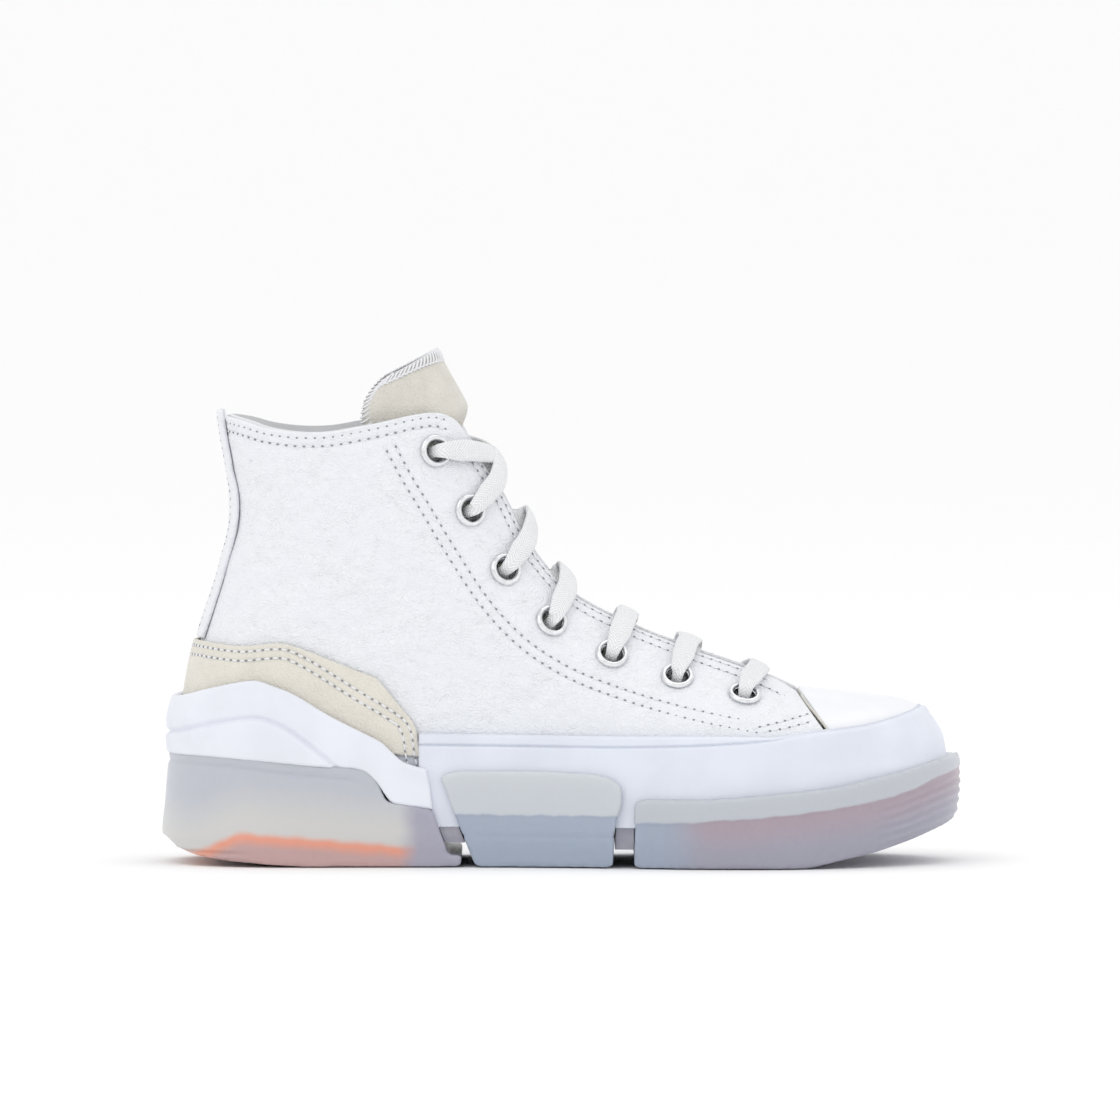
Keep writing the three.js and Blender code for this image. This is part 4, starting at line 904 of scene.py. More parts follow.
def seam_distance(x, z):
    """Distance in the side view from each place to the nearest stitch line, in millimetres."""
    shape = np.shape(x)
    flat = np.column_stack([np.ravel(x), np.ravel(z)])
    best = np.full(len(flat), 50.0)
    for points, (start, end) in SEWN.values():
        run = lengths(points)
        kept = points[(run >= start * run[-1]) & (run <= end * run[-1])][::3]
        for chunk in np.array_split(np.arange(len(flat)), 40):
            gap = np.linalg.norm(flat[chunk, None] - kept[None], axis=2).min(1)
            best[chunk] = np.minimum(best[chunk], gap)
    return best.reshape(shape)


# ---------------------------------------------------------------- quarters and linings

def chained(parts):
    """A line along several curves, each with its share of 0..1."""
    def at(u):
        u = np.asarray(u, float)
        x, z = np.empty_like(u), np.empty_like(u)
        start = 0.0
        for curve, share in parts:
            here = (u >= start - 1e-12) if start else np.ones_like(u, bool)
            cx, cz = curve(np.clip((u - start) / share, 0, 1))
            x[here], z[here] = cx[here], cz[here]
            start += share
        return x, z
    return at


def panel(side, top, front, columns, rows, least):
    u, v = columns[None, :], rows[:, None]
    low_x = mix(back_of(42), front[0], u)
    low_z = bottom_of(low_x)
    low_x = np.where(u == 0, back_of(low_z), low_x)
    top_x, top_z = top(columns)
    top_x = np.where(columns == 0, back_of(top_z), np.maximum(top_x, back_of(top_z)))[None, :]
    top_z = top_z[None, :]
    z = mix(low_z, top_z, v)
    bulge = back_of(z) - mix(back_of(low_z), back_of(top_z), v)
    x = mix(low_x, top_x, v) + bulge * ease(0.5, NEAR_HEEL, u)
    return place(x, z, side, least)


def panel_columns(near, far):
    """Columns bunched in the round of the heel, then even, with a few close to the front edge."""
    front = np.linspace(NEAR_HEEL, 1, far + 1)
    return np.unique(np.concatenate([np.linspace(0, 1, near, endpoint=False) ** 2 * NEAR_HEEL, front,
                                     1 - 0.006 * np.array([0.08, 0.25, 0.5, 1])]))


def panel_rows(count):
    rows = 1 - (1 - np.linspace(0, 1, count + 1)) ** 1.25
    return np.unique(np.concatenate([rows, 1 - 0.008 * np.array([0.05, 0.2, 0.45, 0.8])]))


def soft_noise(points, size, seed=0.0):
    """A smooth, repeatable swell of about -1..1 at each point, features about size millimetres across."""
    p = np.asarray(points) * (2 * math.pi / size) + seed
    x, y, z = p[..., 0], p[..., 1], p[..., 2]
    return (np.sin(x + 1.3 * np.sin(z * 0.7 + 1)) * np.cos(z * 0.9 + 0.8 * np.sin(x * 0.6)) * 0.6
            + np.sin(0.53 * x - 1.1 * z + 2 + 0.9 * np.sin(y * 0.8)) * 0.4)


def quarter(name, side):
    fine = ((46, 190))
    columns, rows = panel_columns(*fine), panel_rows(110)

    def top(u):
        x, z = chained([(collar, 0.44), (throat, 0.56)])(u)
        return np.minimum(x, CAP_TOP[0] - GAP), z
    points, out = panel(side, top, (CAP_BOTTOM[0] - GAP, CAP_BOTTOM[1]), columns, rows, GAP / 2)
    seam = seam_distance(points[..., 0], points[..., 2])
    open_part = ease(46, 60, points[..., 2])
    pull = -0.35 * np.exp(-(seam / 1.1) ** 2) + 0.12 * np.exp(-((seam - 2.6) / 1.3) ** 2)
    swell = 0.28 * soft_noise(points, 34, side) * ease(0, 12, seam) * open_part
    folded = ease(6, 0, top(columns)[1][None, :] - points[..., 2]) * (columns < 0.44)[None, :]
    mesh = sheet(name, points, out, np.full(seam.shape, -LEATHER), pull * open_part + swell + 0.35 * folded,
                 radius=0.9, numbers={"seam": seam})
    piece = new_object(name, mesh)
    at, direction = eyelet_places(side)
    for centre_point, way in zip(at, direction):
        cut(piece, rod("hole", EYELET["barrel"] + 0.15, 12, centre_point, way))
    dress(piece.data, LEATHER_FINISH)
    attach(piece, SHOE)
    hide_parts(f"quarter_{name.split('_')[0]}")
    return piece


def rod(name, radius, length, centre_point, way, sides=40):
    """A closed round rod, centred on a point, in millimetres."""
    bm = bmesh.new()
    bmesh.ops.create_cone(bm, cap_ends=True, segments=sides, radius1=radius * MM, radius2=radius * MM,
                          depth=length * MM)
    turn = Vector(way).to_track_quat("Z", "Y").to_matrix().to_4x4()
    bm.transform(Matrix.Translation(Vector(centre_point) * MM) @ turn)
    mesh = bpy.data.meshes.new(name)
    bm.to_mesh(mesh)
    bm.free()
    return new_object(name, mesh)


def lining_face(z):
    return mix(COUNTER_INNER - PLY_GAP, STAY_OUTER, ease(90, 112, z))


def lining(name, side):
    def top(u):
        def to_collar(t):
            return collar(t * 0.62)

        def to_facing(t):
            x, z = facing(t)
            return x - 1.6, z - 1.2
        return chained([(to_collar, 0.4), (to_facing, 0.6)])(u)
    points, out = panel(side, top, (84, 30), panel_columns(26, 70), panel_rows(40), GAP / 2)
    outer = lining_face(points[..., 2])
    padding = 0.5 * ease(95, 140, points[..., 2]) * (1 + 0.25 * soft_noise(points, 22, side))
    mesh = sheet(name, points, out, outer - LINING - padding, outer, edges=("high", "end"), radius=0.5)
    return settle(name, mesh, LINING_FINISH, SHOE, "lining_cloth", f"lining_{name.split('_')[0]}")


for side_name, side_sign in SIDES:
    quarter(f"{side_name}_quarter_leather", side_sign)
    lining(f"{side_name}_sock_lining", side_sign)
    sewn_rows = [on_face(points, side_sign, -0.12, trim) for points, trim in SEWN.values()]
    sewn_rows += [on_face(curve_points(points), side_sign, 0.1) for points in TACKS]
    sew(f"{side_name}_quarter_stitches", sewn_rows)


# ---------------------------------------------------------------- heel pieces

def around_heel(columns, rows, low, high, edge):
    """Places around the heel, from the lateral edge to the medial edge."""
    share = np.concatenate([columns[:0:-1], columns])[None, :]
    side = np.concatenate([-np.ones(len(columns) - 1), [0], np.ones(len(columns) - 1)])[None, :]
    rough = mix(back_of(high(-100)), edge(high(-100)), share)
    z = mix(low(rough), high(rough), rows[:, None])
    return place(mix(back_of(z), edge(z), share), z, side)


def flat_line(height):
    return lambda x: np.full(np.shape(x), float(height))


heel_strip = through(swap([(-115.2, 151.2), (-112.4, 138), (-109.6, 126), (-110, 115), (-113, 103),
                           (-117.6, 88), (-121.6, 76)]))


def heel_columns(count, near=0.01):
    last = 1 - near * np.array([0.08, 0.25, 0.5, 1])
    return np.unique(np.concatenate([np.linspace(0, 1, count) ** 1.7, last]))


def strip_edge(z):
    return np.maximum(heel_strip(z), back_of(z) + 1.2)


def strip_top(x):
    return 152.6 + 2.2 * ease(-112.5, -115.4, x)


def backstay():
    points, out = around_heel(heel_columns(22, 0.05), close_to_ends(90, 0.012), flat_line(76.5), strip_top,
                              strip_edge)
    mesh = sheet("heel_strip", points, out, GAP, GAP + LEATHER + 0.1 * soft_noise(points, 16), radius=0.8)
    settle("heel_strip", mesh, STRIP_FINISH, SHOE, "leather", "backstay")
    z = np.linspace(79, 151, 160)
    rows = []
    for side in (LATERAL, MEDIAL):
        x = strip_edge(z) - 1.5
        at, way = place(np.maximum(x, back_of(z) + 0.15), z, side)
        rows.append((at + way * (GAP + LEATHER - 0.05), way))
    sew("heel_strip_stitches", rows, pitch=2.6, length=1.9)


backstay()

overlay_top = through([(-128, 75.6), (-121.7, 75.6), (-115, 75), (-107.7, 74.6), (-99, 75.6), (-93, 75.6),
                       (-86, 72.7), (-78.4, 68.2), (-66.7, 60.8), (-57.8, 55.6), (-52.7, 52)])
overlay_low = through([(-128, 42), (-100, 40.5), (-80, 38.2), (-66, 35.6), (-58, 31), (-46.6, 29)])
overlay_front = through(swap([(-52.7, 52.2), (-50.4, 49.4), (-48.8, 45.4), (-47.6, 37.7), (-46.6, 33.6),
                              (-46.2, 28)]))
OVERLAY_INNER = PLY_GAP
OVERLAY_OUTER = OVERLAY_INNER + SUEDE


def heel_overlay():
    columns, levels = heel_columns(110), close_to_ends(60, 0.015)
    points, out = around_heel(columns, levels, overlay_low, overlay_top, overlay_front)
    rows = []
    x = np.linspace(-127.4, -55, 400)
    edge = np.column_stack([x, overlay_top(x)])
    front = np.column_stack([overlay_front(np.linspace(52.2, 36, 60)), np.linspace(52.2, 36, 60)])
    edge = np.vstack([edge, front])
    way = np.gradient(edge, axis=0)
    way /= np.linalg.norm(way, axis=1)[:, None]
    into = np.column_stack([way[:, 1], -way[:, 0]])
    seam = np.full(points.shape[:2], 50.0)
    for inset in (2.0, 5.0):
        row = edge + inset * into
        row = row[row[:, 0] > back_of(row[:, 1]) + 0.01]
        flat = points[..., [0, 2]].reshape(-1, 2)
        gap = np.array([np.linalg.norm(row - p, axis=1).min() for p in flat]).reshape(seam.shape)
        seam = np.minimum(seam, gap)
        for side in (LATERAL, MEDIAL):
            rows.append((row, side))
    outer = OVERLAY_OUTER - 0.3 * np.exp(-(seam / 1.0) ** 2) + 0.12 * soft_noise(points, 20)
    mesh = sheet("heel_suede", points, out, OVERLAY_INNER, outer, radius=0.9)
    settle("heel_suede", mesh, OVERLAY_FINISH, SHOE, "suede", "heel_overlay")
    sew("heel_suede_stitches", [(at + way * (OVERLAY_OUTER - 0.1), way) for at, way in
                                (place(row[:, 0], row[:, 1], side) for row, side in rows)], pitch=3.0)


heel_overlay()

clip_low = through([(-145, 37.8), (-119, 37.8), (-101.8, 36.2), (-90, 34.7), (-78.4, 33.8), (-70.5, 33.3),
                    (-66.4, 31.6), (-63.4, 28.2), (-61.5, 24.6), (-59.6, 22.0), (-56, 21.0), (-43.6, 19.2)])
clip_high = through([(-145, 55.6), (-130, 55.6), (-123.5, 57), (-116.5, 59.6), (-107.7, 62.2), (-102.4, 63),
                     (-98.3, 61.8), (-90, 58.4), (-78.4, 51.5), (-66.7, 45.4), (-60.8, 42.2), (-57.8, 39.2),
                     (-54.4, 36), (-51, 34.6), (-45.7, 32.9), (-43.9, 31.5)])
CLIP_GROOVE = [(-134.0, 44.2), (-125.2, 46.5), (-116.5, 49.2), (-107.7, 51.2), (-102.4, 51.8), (-98.3, 50.9),
               (-93.0, 48.2), (-87.2, 44.1), (-81.3, 39.4), (-76.6, 35.4), (-73.7, 32.6)]
clip_front = through([(19, -43.5), (26, -44.2), (33, -45.4), (64, -46)])
clip_groove = through(CLIP_GROOVE)


def heel_clip():
    columns, levels = heel_columns(150, 0.006), close_to_ends(70, 0.02)
    points, out = around_heel(columns, levels, clip_low, clip_high, clip_front)
    x, z = points[..., 0], points[..., 2]
    slope = (clip_groove(x + 0.5) - clip_groove(x - 0.5))
    above = (z - clip_groove(x)) / np.sqrt(1 + slope ** 2)
    raised = 0.55 * ease(-0.6, -2.6, above) * ease(-70, -76, x)
    groove = -1.15 * np.exp(-((above + 1.1) / 0.85) ** 2) * ease(-70, -75, x)
    inner = OVERLAY_OUTER + PLY_GAP
    over_groove = (z - clip_groove(x)) / np.maximum(4, clip_high(x) - clip_groove(x))
    outer = inner + CLIP - 0.2 - 1.4 * ease(0.25, 1, over_groove)
    mesh = sheet("heel_clip_shell", points, out, inner, outer + raised + groove, radius=1.3)
    settle("heel_clip_shell", mesh, CLIP_FINISH, SHOE, "clip_plastic", "heel_clip")


heel_clip()


# ---------------------------------------------------------------- toe pieces

TOE_PIVOT = (96, 34)


def toe_spine(rear):
    start = math.atan2(rear[1] - TOE_PIVOT[1], rear[0] - TOE_PIVOT[0])

    def at(u):
        angle = mix(start, -0.05, np.asarray(u, float))
        inside, outside = np.zeros_like(angle), np.full_like(angle, 60.0)
        for _ in range(40):
            middle = (inside + outside) / 2
            x, z = TOE_PIVOT[0] + middle * np.cos(angle), TOE_PIVOT[1] + middle * np.sin(angle)
            held = half_squared(x, z, LATERAL) > 0
            inside, outside = np.where(held, middle, inside), np.where(held, outside, middle)
        return TOE_PIVOT[0] + inside * np.cos(angle), TOE_PIVOT[1] + inside * np.sin(angle)
    return at


def over_ridge(stations, turns, spine, lower):
    share = np.concatenate([turns[:0:-1], turns])[None, :] ** 2
    side = np.concatenate([-np.ones(len(turns) - 1), [0], np.ones(len(turns) - 1)])[None, :]
    (ax, az), (bx, bz) = spine(stations), lower(stations)
    return place(mix(ax[:, None], bx[:, None], share), mix(az[:, None], bz[:, None], share), side)


def toe_places(setback, stations, turns):
    rear_x = CAP_TOP[0] + setback
    spine = toe_spine((rear_x, float(ridge_height(rear_x)) - 0.2))
    foot = CAP_BOTTOM[0] + setback
    tip = [float(v) for v in spine(1.0)]

    def lower(u):
        x = mix(foot, tip[0], u ** 1.2)
        return x, mix(bottom_of(x), tip[1], u ** 6)
    return over_ridge(stations, turns, spine, lower)


CAP_LINE_START = 8


def toe_cap():
    turns = np.linspace(0, 1, 60)
    stations = np.unique(np.concatenate([np.linspace(0, 1, 110), 0.012 * np.array([0.06, 0.2, 0.45, 0.8])]))
    points, out = toe_places(GAP, stations, turns)
    swell = 0.12 * soft_noise(points, 40)
    mesh = sheet("toe_cap_leather", points, out, -LEATHER, swell, edges=("low",), radius=0.9)
    settle("toe_cap_leather", mesh, CAP_FINISH, SHOE, "cap_leather", "toe_cap")
    # The raw, beige edge of the layer under the cap shows as a narrow line behind it.
    rear = curve_points(CAP_REAR[:3] + [(93, 44.5)])
    rows = []
    for side in (LATERAL, MEDIAL):
        at, way = place(rear[:, 0] - 0.15, rear[:, 1], side)
        radius = 0.05 + 0.4 * ease(0, 6, np.arange(len(at) - CAP_LINE_START))
        rows.append(tube(at[CAP_LINE_START:] - way[CAP_LINE_START:] * 0.1, radius, 8))
    settle("cap_edge_line", joined("cap_edge_line", rows), TONGUE_FINISH, SHOE, "suede")


def tube(path, radius, sides=10):
    """A closed round tube along points, in millimetres: vertices and faces."""
    path = np.asarray(path, float)
    n = len(path)
    radius = np.broadcast_to(radius, n)
    way = np.gradient(path, axis=0)
    way /= np.maximum(np.linalg.norm(way, axis=1)[:, None], 1e-9)
    side = np.cross(way[0], (0, 0, 1.0))
    if np.linalg.norm(side) < 0.1:
        side = np.cross(way[0], (0, 1.0, 0))
    rings = []
    for p, w, r in zip(path, way, radius):
        side = side - w * side.dot(w)
        side /= np.linalg.norm(side)
        up = np.cross(w, side)
        angle = np.linspace(0, 2 * math.pi, sides, endpoint=False)[:, None]
        rings.append(p + r * (np.cos(angle) * side + np.sin(angle) * up))
    return tube_faces(rings)


def tube_faces(rings):
    """Closes rings of points, all of one length, into a tube with capped ends."""
    m = len(rings[0])
    n = len(rings)
    vertices = np.vstack(rings)
    k, i = np.meshgrid(np.arange(n - 1), np.arange(m), indexing="ij")
    a, b = (k * m + i).ravel(), (k * m + (i + 1) % m).ravel()
    faces = np.column_stack([a, b, b + m, a + m]).tolist()
    caps = [list(range(m))[::-1], [(n - 1) * m + j for j in range(m)]]
    return vertices, faces + caps


def joined(name, shells):
    """One mesh from several (vertices, faces)."""
    vertices, faces, start = [], [], 0
    for v, f in shells:
        vertices.append(v)
        faces += [[j + start for j in face] for face in f]
        start += len(v)
    mesh = bpy.data.meshes.new(name)
    mesh.from_pydata((np.vstack(vertices) * MM).tolist(), [], faces)
    return tidy_mesh(mesh, gap=1e-6)


def vamp_underlay():
    turns = np.linspace(0, 1, 40)

    def spine(u):
        x = mix(69, CAP_TOP[0] + 6, u)
        return x, ridge_height(x)

    def lower(u):
        return mix(80, 92, u), np.full_like(u, 50.0)
    points, out = over_ridge(np.linspace(0, 1, 24), turns, spine, lower)
    mesh = sheet("throat_underlay", points, out, STAY_OUTER - PUFF, np.full(points.shape[:2], STAY_OUTER),
                 edges=("low", "high"), radius=0.35)
    settle("throat_underlay", mesh, TONGUE_FINISH, SHOE, "leather", "vamp_underlay")


toe_cap()
vamp_underlay()


# ---------------------------------------------------------------- tongue

tongue_depth = through([(60, 3.4), (66, 4.6), (78, 9), (90, 13), (105, 18), (125, 25), (145, 31), (157, 36),
                        (166, 35.5)])
TONGUE_TIP = 175.9
TIP_CORNER = [(-7.92, 35), (-3.87, 31), (-1.41, 25), (0, 18)]
TONGUE_THICK = {"face": 1.1, "pad": 4.35}
BASE_LIFT = STAY_OUTER - PUFF - PLY_GAP


def tongue_places(stations, turns):
    """Places over the tongue: rows from the sewn base up to the tip, columns from edge to edge."""
    levels = (60.5, 63, 65.5, 69, 74, 79.5, 86, 93.5, 102, 112, 123, 134, 145, 156)
    heights = [(z, float(tongue_depth(z))) for z in levels]
    heights += [(TONGUE_TIP + drop, depth) for drop, depth in TIP_CORNER]
    z, depth = np.array(heights).T
    share = np.linspace(0, 1, len(z))
    z = np.interp(stations, share, z)
    depth = through(list(zip(share, depth)))(stations)
    x = ridge_front(z)
    slope = np.arctan2(ridge_front(z + 1) - ridge_front(z - 1), 2)
    t = (np.concatenate([turns[:0:-1], turns])[None, :]) ** 2 * depth[:, None]
    side = np.concatenate([-np.ones(len(turns) - 1), [0], np.ones(len(turns) - 1)])[None, :]
    back, up = np.cos(slope)[:, None] * t, np.sin(slope)[:, None] * t
    points, out = place(x[:, None] - back, z[:, None] + up, side)
    across = np.abs(np.concatenate([-turns[:0:-1], turns]))[None, :]
    rise = ease(146, 164, z)[:, None]
    lift = mix(-LACE_ROOM, -1.6, ease(147, 158, z))
    middle = mix(BASE_LIFT, lift, ease(60.5, 65, z))[:, None]
    offset = mix(middle, np.minimum(middle, -LACE_ROOM), rise * across ** 2)
    return points, out, offset


def tongue():
    stations, turns = close_to_ends(130, 0.006), np.unique(np.concatenate([
        np.linspace(0, 1, 46), 1 - 0.02 * np.array([0.08, 0.25, 0.5, 1])]))
    points, out, offset = tongue_places(stations, turns)
    swell = 0.22 * soft_noise(points, 24)
    mesh = sheet("tongue_suede", points, out, offset - TONGUE_THICK["face"], offset + swell, radius=0.8)
    face = new_object("tongue_suede", mesh)
    dress(mesh, TONGUE_FINISH)
    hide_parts("tongue_face")
    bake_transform(face)

    pad = padded_back(stations[3:-3:2], turns[:-4:2])
    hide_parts("tongue_foam", "tongue_lining")
    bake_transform(pad)

    # Whip stitches over the rounded edge, with a chain line at their inner ends.
    edge = edge_of(points, out, offset + 0.1)
    whip = whip_stitches(edge)
    for piece in whip:
        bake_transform(piece)


def padded_back(stations, turns):
    """The tongue's foam and knit back, puffed by cloth pressure where it is free."""
    points, out, offset = tongue_places(stations, turns)
    high = offset - TONGUE_THICK["face"] - GAP
    low = high - TONGUE_THICK["pad"] + 0.9
    mesh = sheet("tongue_pad", points, out, low, high, radius=1.6)
    pad = new_object("tongue_pad", mesh)
    puff(pad, voxel=4.0, most=1.0)
    dress(pad.data, PAD_FINISH)
    return pad


def puff(pad, voxel, most):
    """Cloth pressure on a remeshed pad, its movement capped, then one subdivision."""
    step = pad.modifiers.new("remesh", "REMESH")
    step.mode, step.voxel_size = "VOXEL", voxel * MM * 0.5
    baked(pad)
    before = coordinates(pad.data)
    cloth = pad.modifiers.new("cloth", "CLOTH")
    cloth.settings.use_pressure = True
    cloth.settings.uniform_pressure_force = 4
    cloth.settings.effector_weights.gravity = 0
    scene = bpy.context.scene
    for number in range(1, 21):
        scene.frame_set(number)
    baked(pad)
    scene.frame_set(1)
    moved = coordinates(pad.data) - before
    far = np.linalg.norm(moved, axis=1, keepdims=True)
    move_points(pad.data, before + moved * np.minimum(1, most / np.maximum(far, 1e-6)))
    smooth = pad.modifiers.new("smooth", "SUBSURF")
    smooth.levels = smooth.render_levels = 1
    baked(pad)
    smooth_shade(pad.data)


def edge_of(points, out, offset):
    """The tongue's free edge from the lateral throat, round the tip, to the medial throat."""
    start = int(points.shape[0] * 0.52)
    lifted = points + out * offset[..., None]
    path = np.vstack([lifted[start:, 0], lifted[-1, 1:-1], lifted[start:, -1][::-1]])
    ways = np.vstack([out[start:, 0], out[-1, 1:-1], out[start:, -1][::-1]])
    inner = 9
    inward = np.vstack([lifted[start:, inner], lifted[-1 - inner, 1:-1], lifted[start:, -1 - inner][::-1]])
    return path, ways, inward


WHIP_REACH = 4.3


def whip_stitches(edge):
    path, ways, inward = edge
    run = lengths(path)
    at = np.arange(1.0, run[-1], 1.75)
    spot = np.column_stack([np.interp(at, run, path[:, k]) for k in range(3)])
    out = np.column_stack([np.interp(at, run, ways[:, k]) for k in range(3)])
    into = np.column_stack([np.interp(at, run, inward[:, k]) for k in range(3)]) - spot
    out /= np.linalg.norm(out, axis=1)[:, None]
    into -= out * (into * out).sum(1)[:, None]
    into /= np.maximum(np.linalg.norm(into, axis=1)[:, None], 1e-6)
    along = np.cross(out, into)
    shells, chain_points = [], []
    for k, (p, o, w, a) in enumerate(zip(spot, out, into, along)):
        arc = [p - w * 0.2 - o * 2.0, p - w * 0.55 - o * 0.9, p - w * 0.25 + o * 0.12,
               p + w * 0.8 + o * 0.28, p + w * WHIP_REACH * 0.55 + a * 0.25 + o * 0.25,
               p + w * WHIP_REACH + a * 0.5 - o * 0.1]
        shells.append(tube(curve_points(arc, 3), 0.34, 6))
        chain_points.append(p + w * WHIP_REACH + o * 0.1)
    name = "tongue_edge_stitches"
    mesh = joined(name, shells)
    whip = new_object(name, mesh)
    dress(mesh, THREAD_FINISH)
    chain = sew("tongue_chain_line", [(np.array(chain_points), out)], body=None,
                pitch=1.9, length=1.9, width=0.6, height=0.55, holes=False)
    return [whip, *chain]


tongue()


# ---------------------------------------------------------------- eyelets

def eyelet_item():
    """One eyelet: a bored barrel, a rolled flange outside and a clinched washer inside; Z is outwards."""
    bore, barrel, flange = EYELET["bore"], EYELET["barrel"], EYELET["flange"]
    seat, under = EYELET["rest"], STAY_INNER - EYELET["seat"]
    angle = np.linspace(math.pi * 0.04, math.pi * 0.86, 12)
    middle, roll_x, roll_z = (bore + flange) / 2 + 0.1, (flange - bore) / 2, EYELET["lip"]
    crown = [(middle + roll_x * math.cos(a), seat + roll_z * math.sin(a)) for a in angle]
    profile = [(bore + 0.12, under - 0.3), (bore, under), (bore, seat - 0.4), (bore - 0.02, seat + 0.25)]
    profile += crown[::-1] + [(flange + 0.08, seat - 0.12), (barrel, seat - 0.1), (barrel, under + 0.1),
                              (barrel + 0.9, under), (barrel + 0.95, under - 0.3),
                              (barrel + 0.2, under - 0.42)]
    sides = 48
    turn = np.linspace(0, 2 * math.pi, sides, endpoint=False)
    rings = [np.array([(r * math.cos(t), r * math.sin(t), h) for r, h in profile]) for t in turn]
    vertices = np.vstack(rings)
    m = len(profile)
    k, i = np.meshgrid(np.arange(sides), np.arange(m), indexing="ij")
    a, b = (k * m + i).ravel(), (k * m + (i + 1) % m).ravel()
    c, d = (((k + 1) % sides) * m + (i + 1) % m).ravel(), (((k + 1) % sides) * m + i).ravel()
    mesh = mesh_of("eyelet_item", vertices, np.column_stack([a, b, c, d]))
    return new_object("eyelet_item", tidy_mesh(mesh, gap=1e-6))


for side_name, side_sign in SIDES:
    at, out = eyelet_places(side_sign)
    nodes = [f"eyelet_{side_name}_{k + 1}" for k in range(EYELET["count"])]
    ways = np.tile((1.0, 0, 0), (len(at), 1))
    set_items(f"{side_name}_eyelets", eyelet_item(), at, out, ways, METAL_FINISH, SHOE, "eyelet_metal", nodes)


# ---------------------------------------------------------------- lace

HOLES = {side: eyelet_places(side) for side in (LATERAL, MEDIAL)}
CLINCH, REST_LIP, BORE_TURN = 0.4, 1.7, 0.9
LACE_UNDER = STAY_INNER - EYELET["seat"] - CLINCH - GAP - LACE["thickness"] / 2
LACE_OVER = REST_LIP + GAP + LACE["thickness"] / 2
OVER, DIVE = 1.2, -2.8
CROSS = {LATERAL: 1.2, MEDIAL: -1.0}
TAIL_END, TAIL_LIFT = 122, -6.2
ROWS = EYELET["count"]
NOWHERE = np.zeros(3)


def stop(point, face, waist=0.0):
    """A stop on the lace's way: where it is, which way the face under it looks, how pinched it is."""
    return point, face, waist


def hole(side, row):
    return HOLES[side][0][row], HOLES[side][1][row]


def over_face(at, offset, shift, waist=0.0):
    return stop(at[0] + at[1] * offset + shift, at[1], waist)


def towards(at, target):
    way = target - at[0]
    way = way - at[1] * way.dot(at[1])
    return way / np.linalg.norm(way)


def ridge_stop(z, y, lift):
    point, out = place(float(ridge_front(z)), z, 0)
    point = point + out * lift
    point[1] += y
    return stop(point, out)


def through_hole(side, row, inside_way, outside_way):
    at = hole(side, row)
    return [over_face(at, LACE_UNDER, inside_way * BORE_TURN * 1.6, 0.6),
            over_face(at, (LACE_UNDER - 0.4) / 2, NOWHERE, 1), over_face(at, 0.2, NOWHERE, 1),
            over_face(at, LACE_OVER, outside_way * BORE_TURN * 1.6, 0.7)]


def edge_stop(side, row, target, offset, reach):
    at = hole(side, row)
    aim = at[0] + towards(at, target) * reach
    point, out = place(aim[0], aim[2], side)
    return stop(point + out * offset, out)


def crossing_height(row):
    return (hole(LATERAL, row)[0][2] + hole(LATERAL, row - 1)[0][2]) / 2 + 7


def climb(side, row):
    """From outside the lower hole, over the ridge, to the inside of the upper hole opposite."""
    middle = ridge_stop(crossing_height(row), side * 1.5, CROSS[side])
    low, high = hole(side, row), hole(-side, row - 1)
    stops = [edge_stop(side, row, middle[0], LACE_OVER, 7.4), edge_stop(side, row, middle[0], OVER + 1.5, 13),
             middle, ridge_stop(crossing_height(row), -side * 5, DIVE),
             edge_stop(-side, row - 1, middle[0], LACE_UNDER - 0.5, 11.8),
             edge_stop(-side, row - 1, middle[0], LACE_UNDER, 6.5)]
    return towards(low, middle[0]), towards(high, middle[0]), stops


def pass_under(side):
    """Under the facings, from the inside of one bottom hole to the row above, opposite."""
    middle = ridge_stop(crossing_height(ROWS - 1) - 2, side, -3 if side == LATERAL else -4.9)
    low, high = hole(side, ROWS - 1), hole(-side, ROWS - 2)
    stops = [edge_stop(side, ROWS - 1, middle[0], LACE_UNDER, 6), middle,
             edge_stop(-side, ROWS - 2, middle[0], LACE_UNDER, 6)]
    return towards(low, middle[0]), towards(high, middle[0]), stops


def tail(side):
    y = side * (LACE["width"] / 2 + 0.5)
    top = ridge_stop(137, y, 0.4)
    stops = [edge_stop(side, 0, top[0], LACE_OVER, 7.4), edge_stop(side, 0, top[0], OVER + 1.4, 12), top,
             ridge_stop(131, y, -4.6), ridge_stop(TAIL_END, y, TAIL_LIFT)]
    return towards(hole(side, 0), top[0]), stops


def whole_lace():
    side = LATERAL
    arrive, first = tail(side)
    stops = first[::-1]
    for row in range(ROWS - 1):
        out_way, in_way, run = climb(-side, row + 1) if row < ROWS - 2 else pass_under(-side)
        stops += through_hole(side, row, in_way, arrive)[::-1] + run[::-1]
        arrive, side = out_way, -side
    bar = ridge_stop(hole(LATERAL, ROWS - 1)[0][2] + 7.4, 0, 1.4)
    stops += through_hole(side, ROWS - 1, arrive, towards(hole(side, ROWS - 1), bar[0]))
    stops += [edge_stop(side, ROWS - 1, bar[0], LACE_OVER, 7.4), bar,
              edge_stop(-side, ROWS - 1, bar[0], LACE_OVER, 7.4)]
    side = -side
    out_way, in_way, run = pass_under(side)
    stops += through_hole(side, ROWS - 1, out_way, towards(hole(side, ROWS - 1), bar[0]))[::-1] + run
    arrive, side = in_way, -side
    for row in range(ROWS - 2, 0, -1):
        out_way, in_way, run = climb(side, row)
        stops += through_hole(side, row, arrive, out_way) + run
        arrive, side = in_way, -side
    out_way, run = tail(side)
    return stops + through_hole(side, 0, arrive, out_way) + run


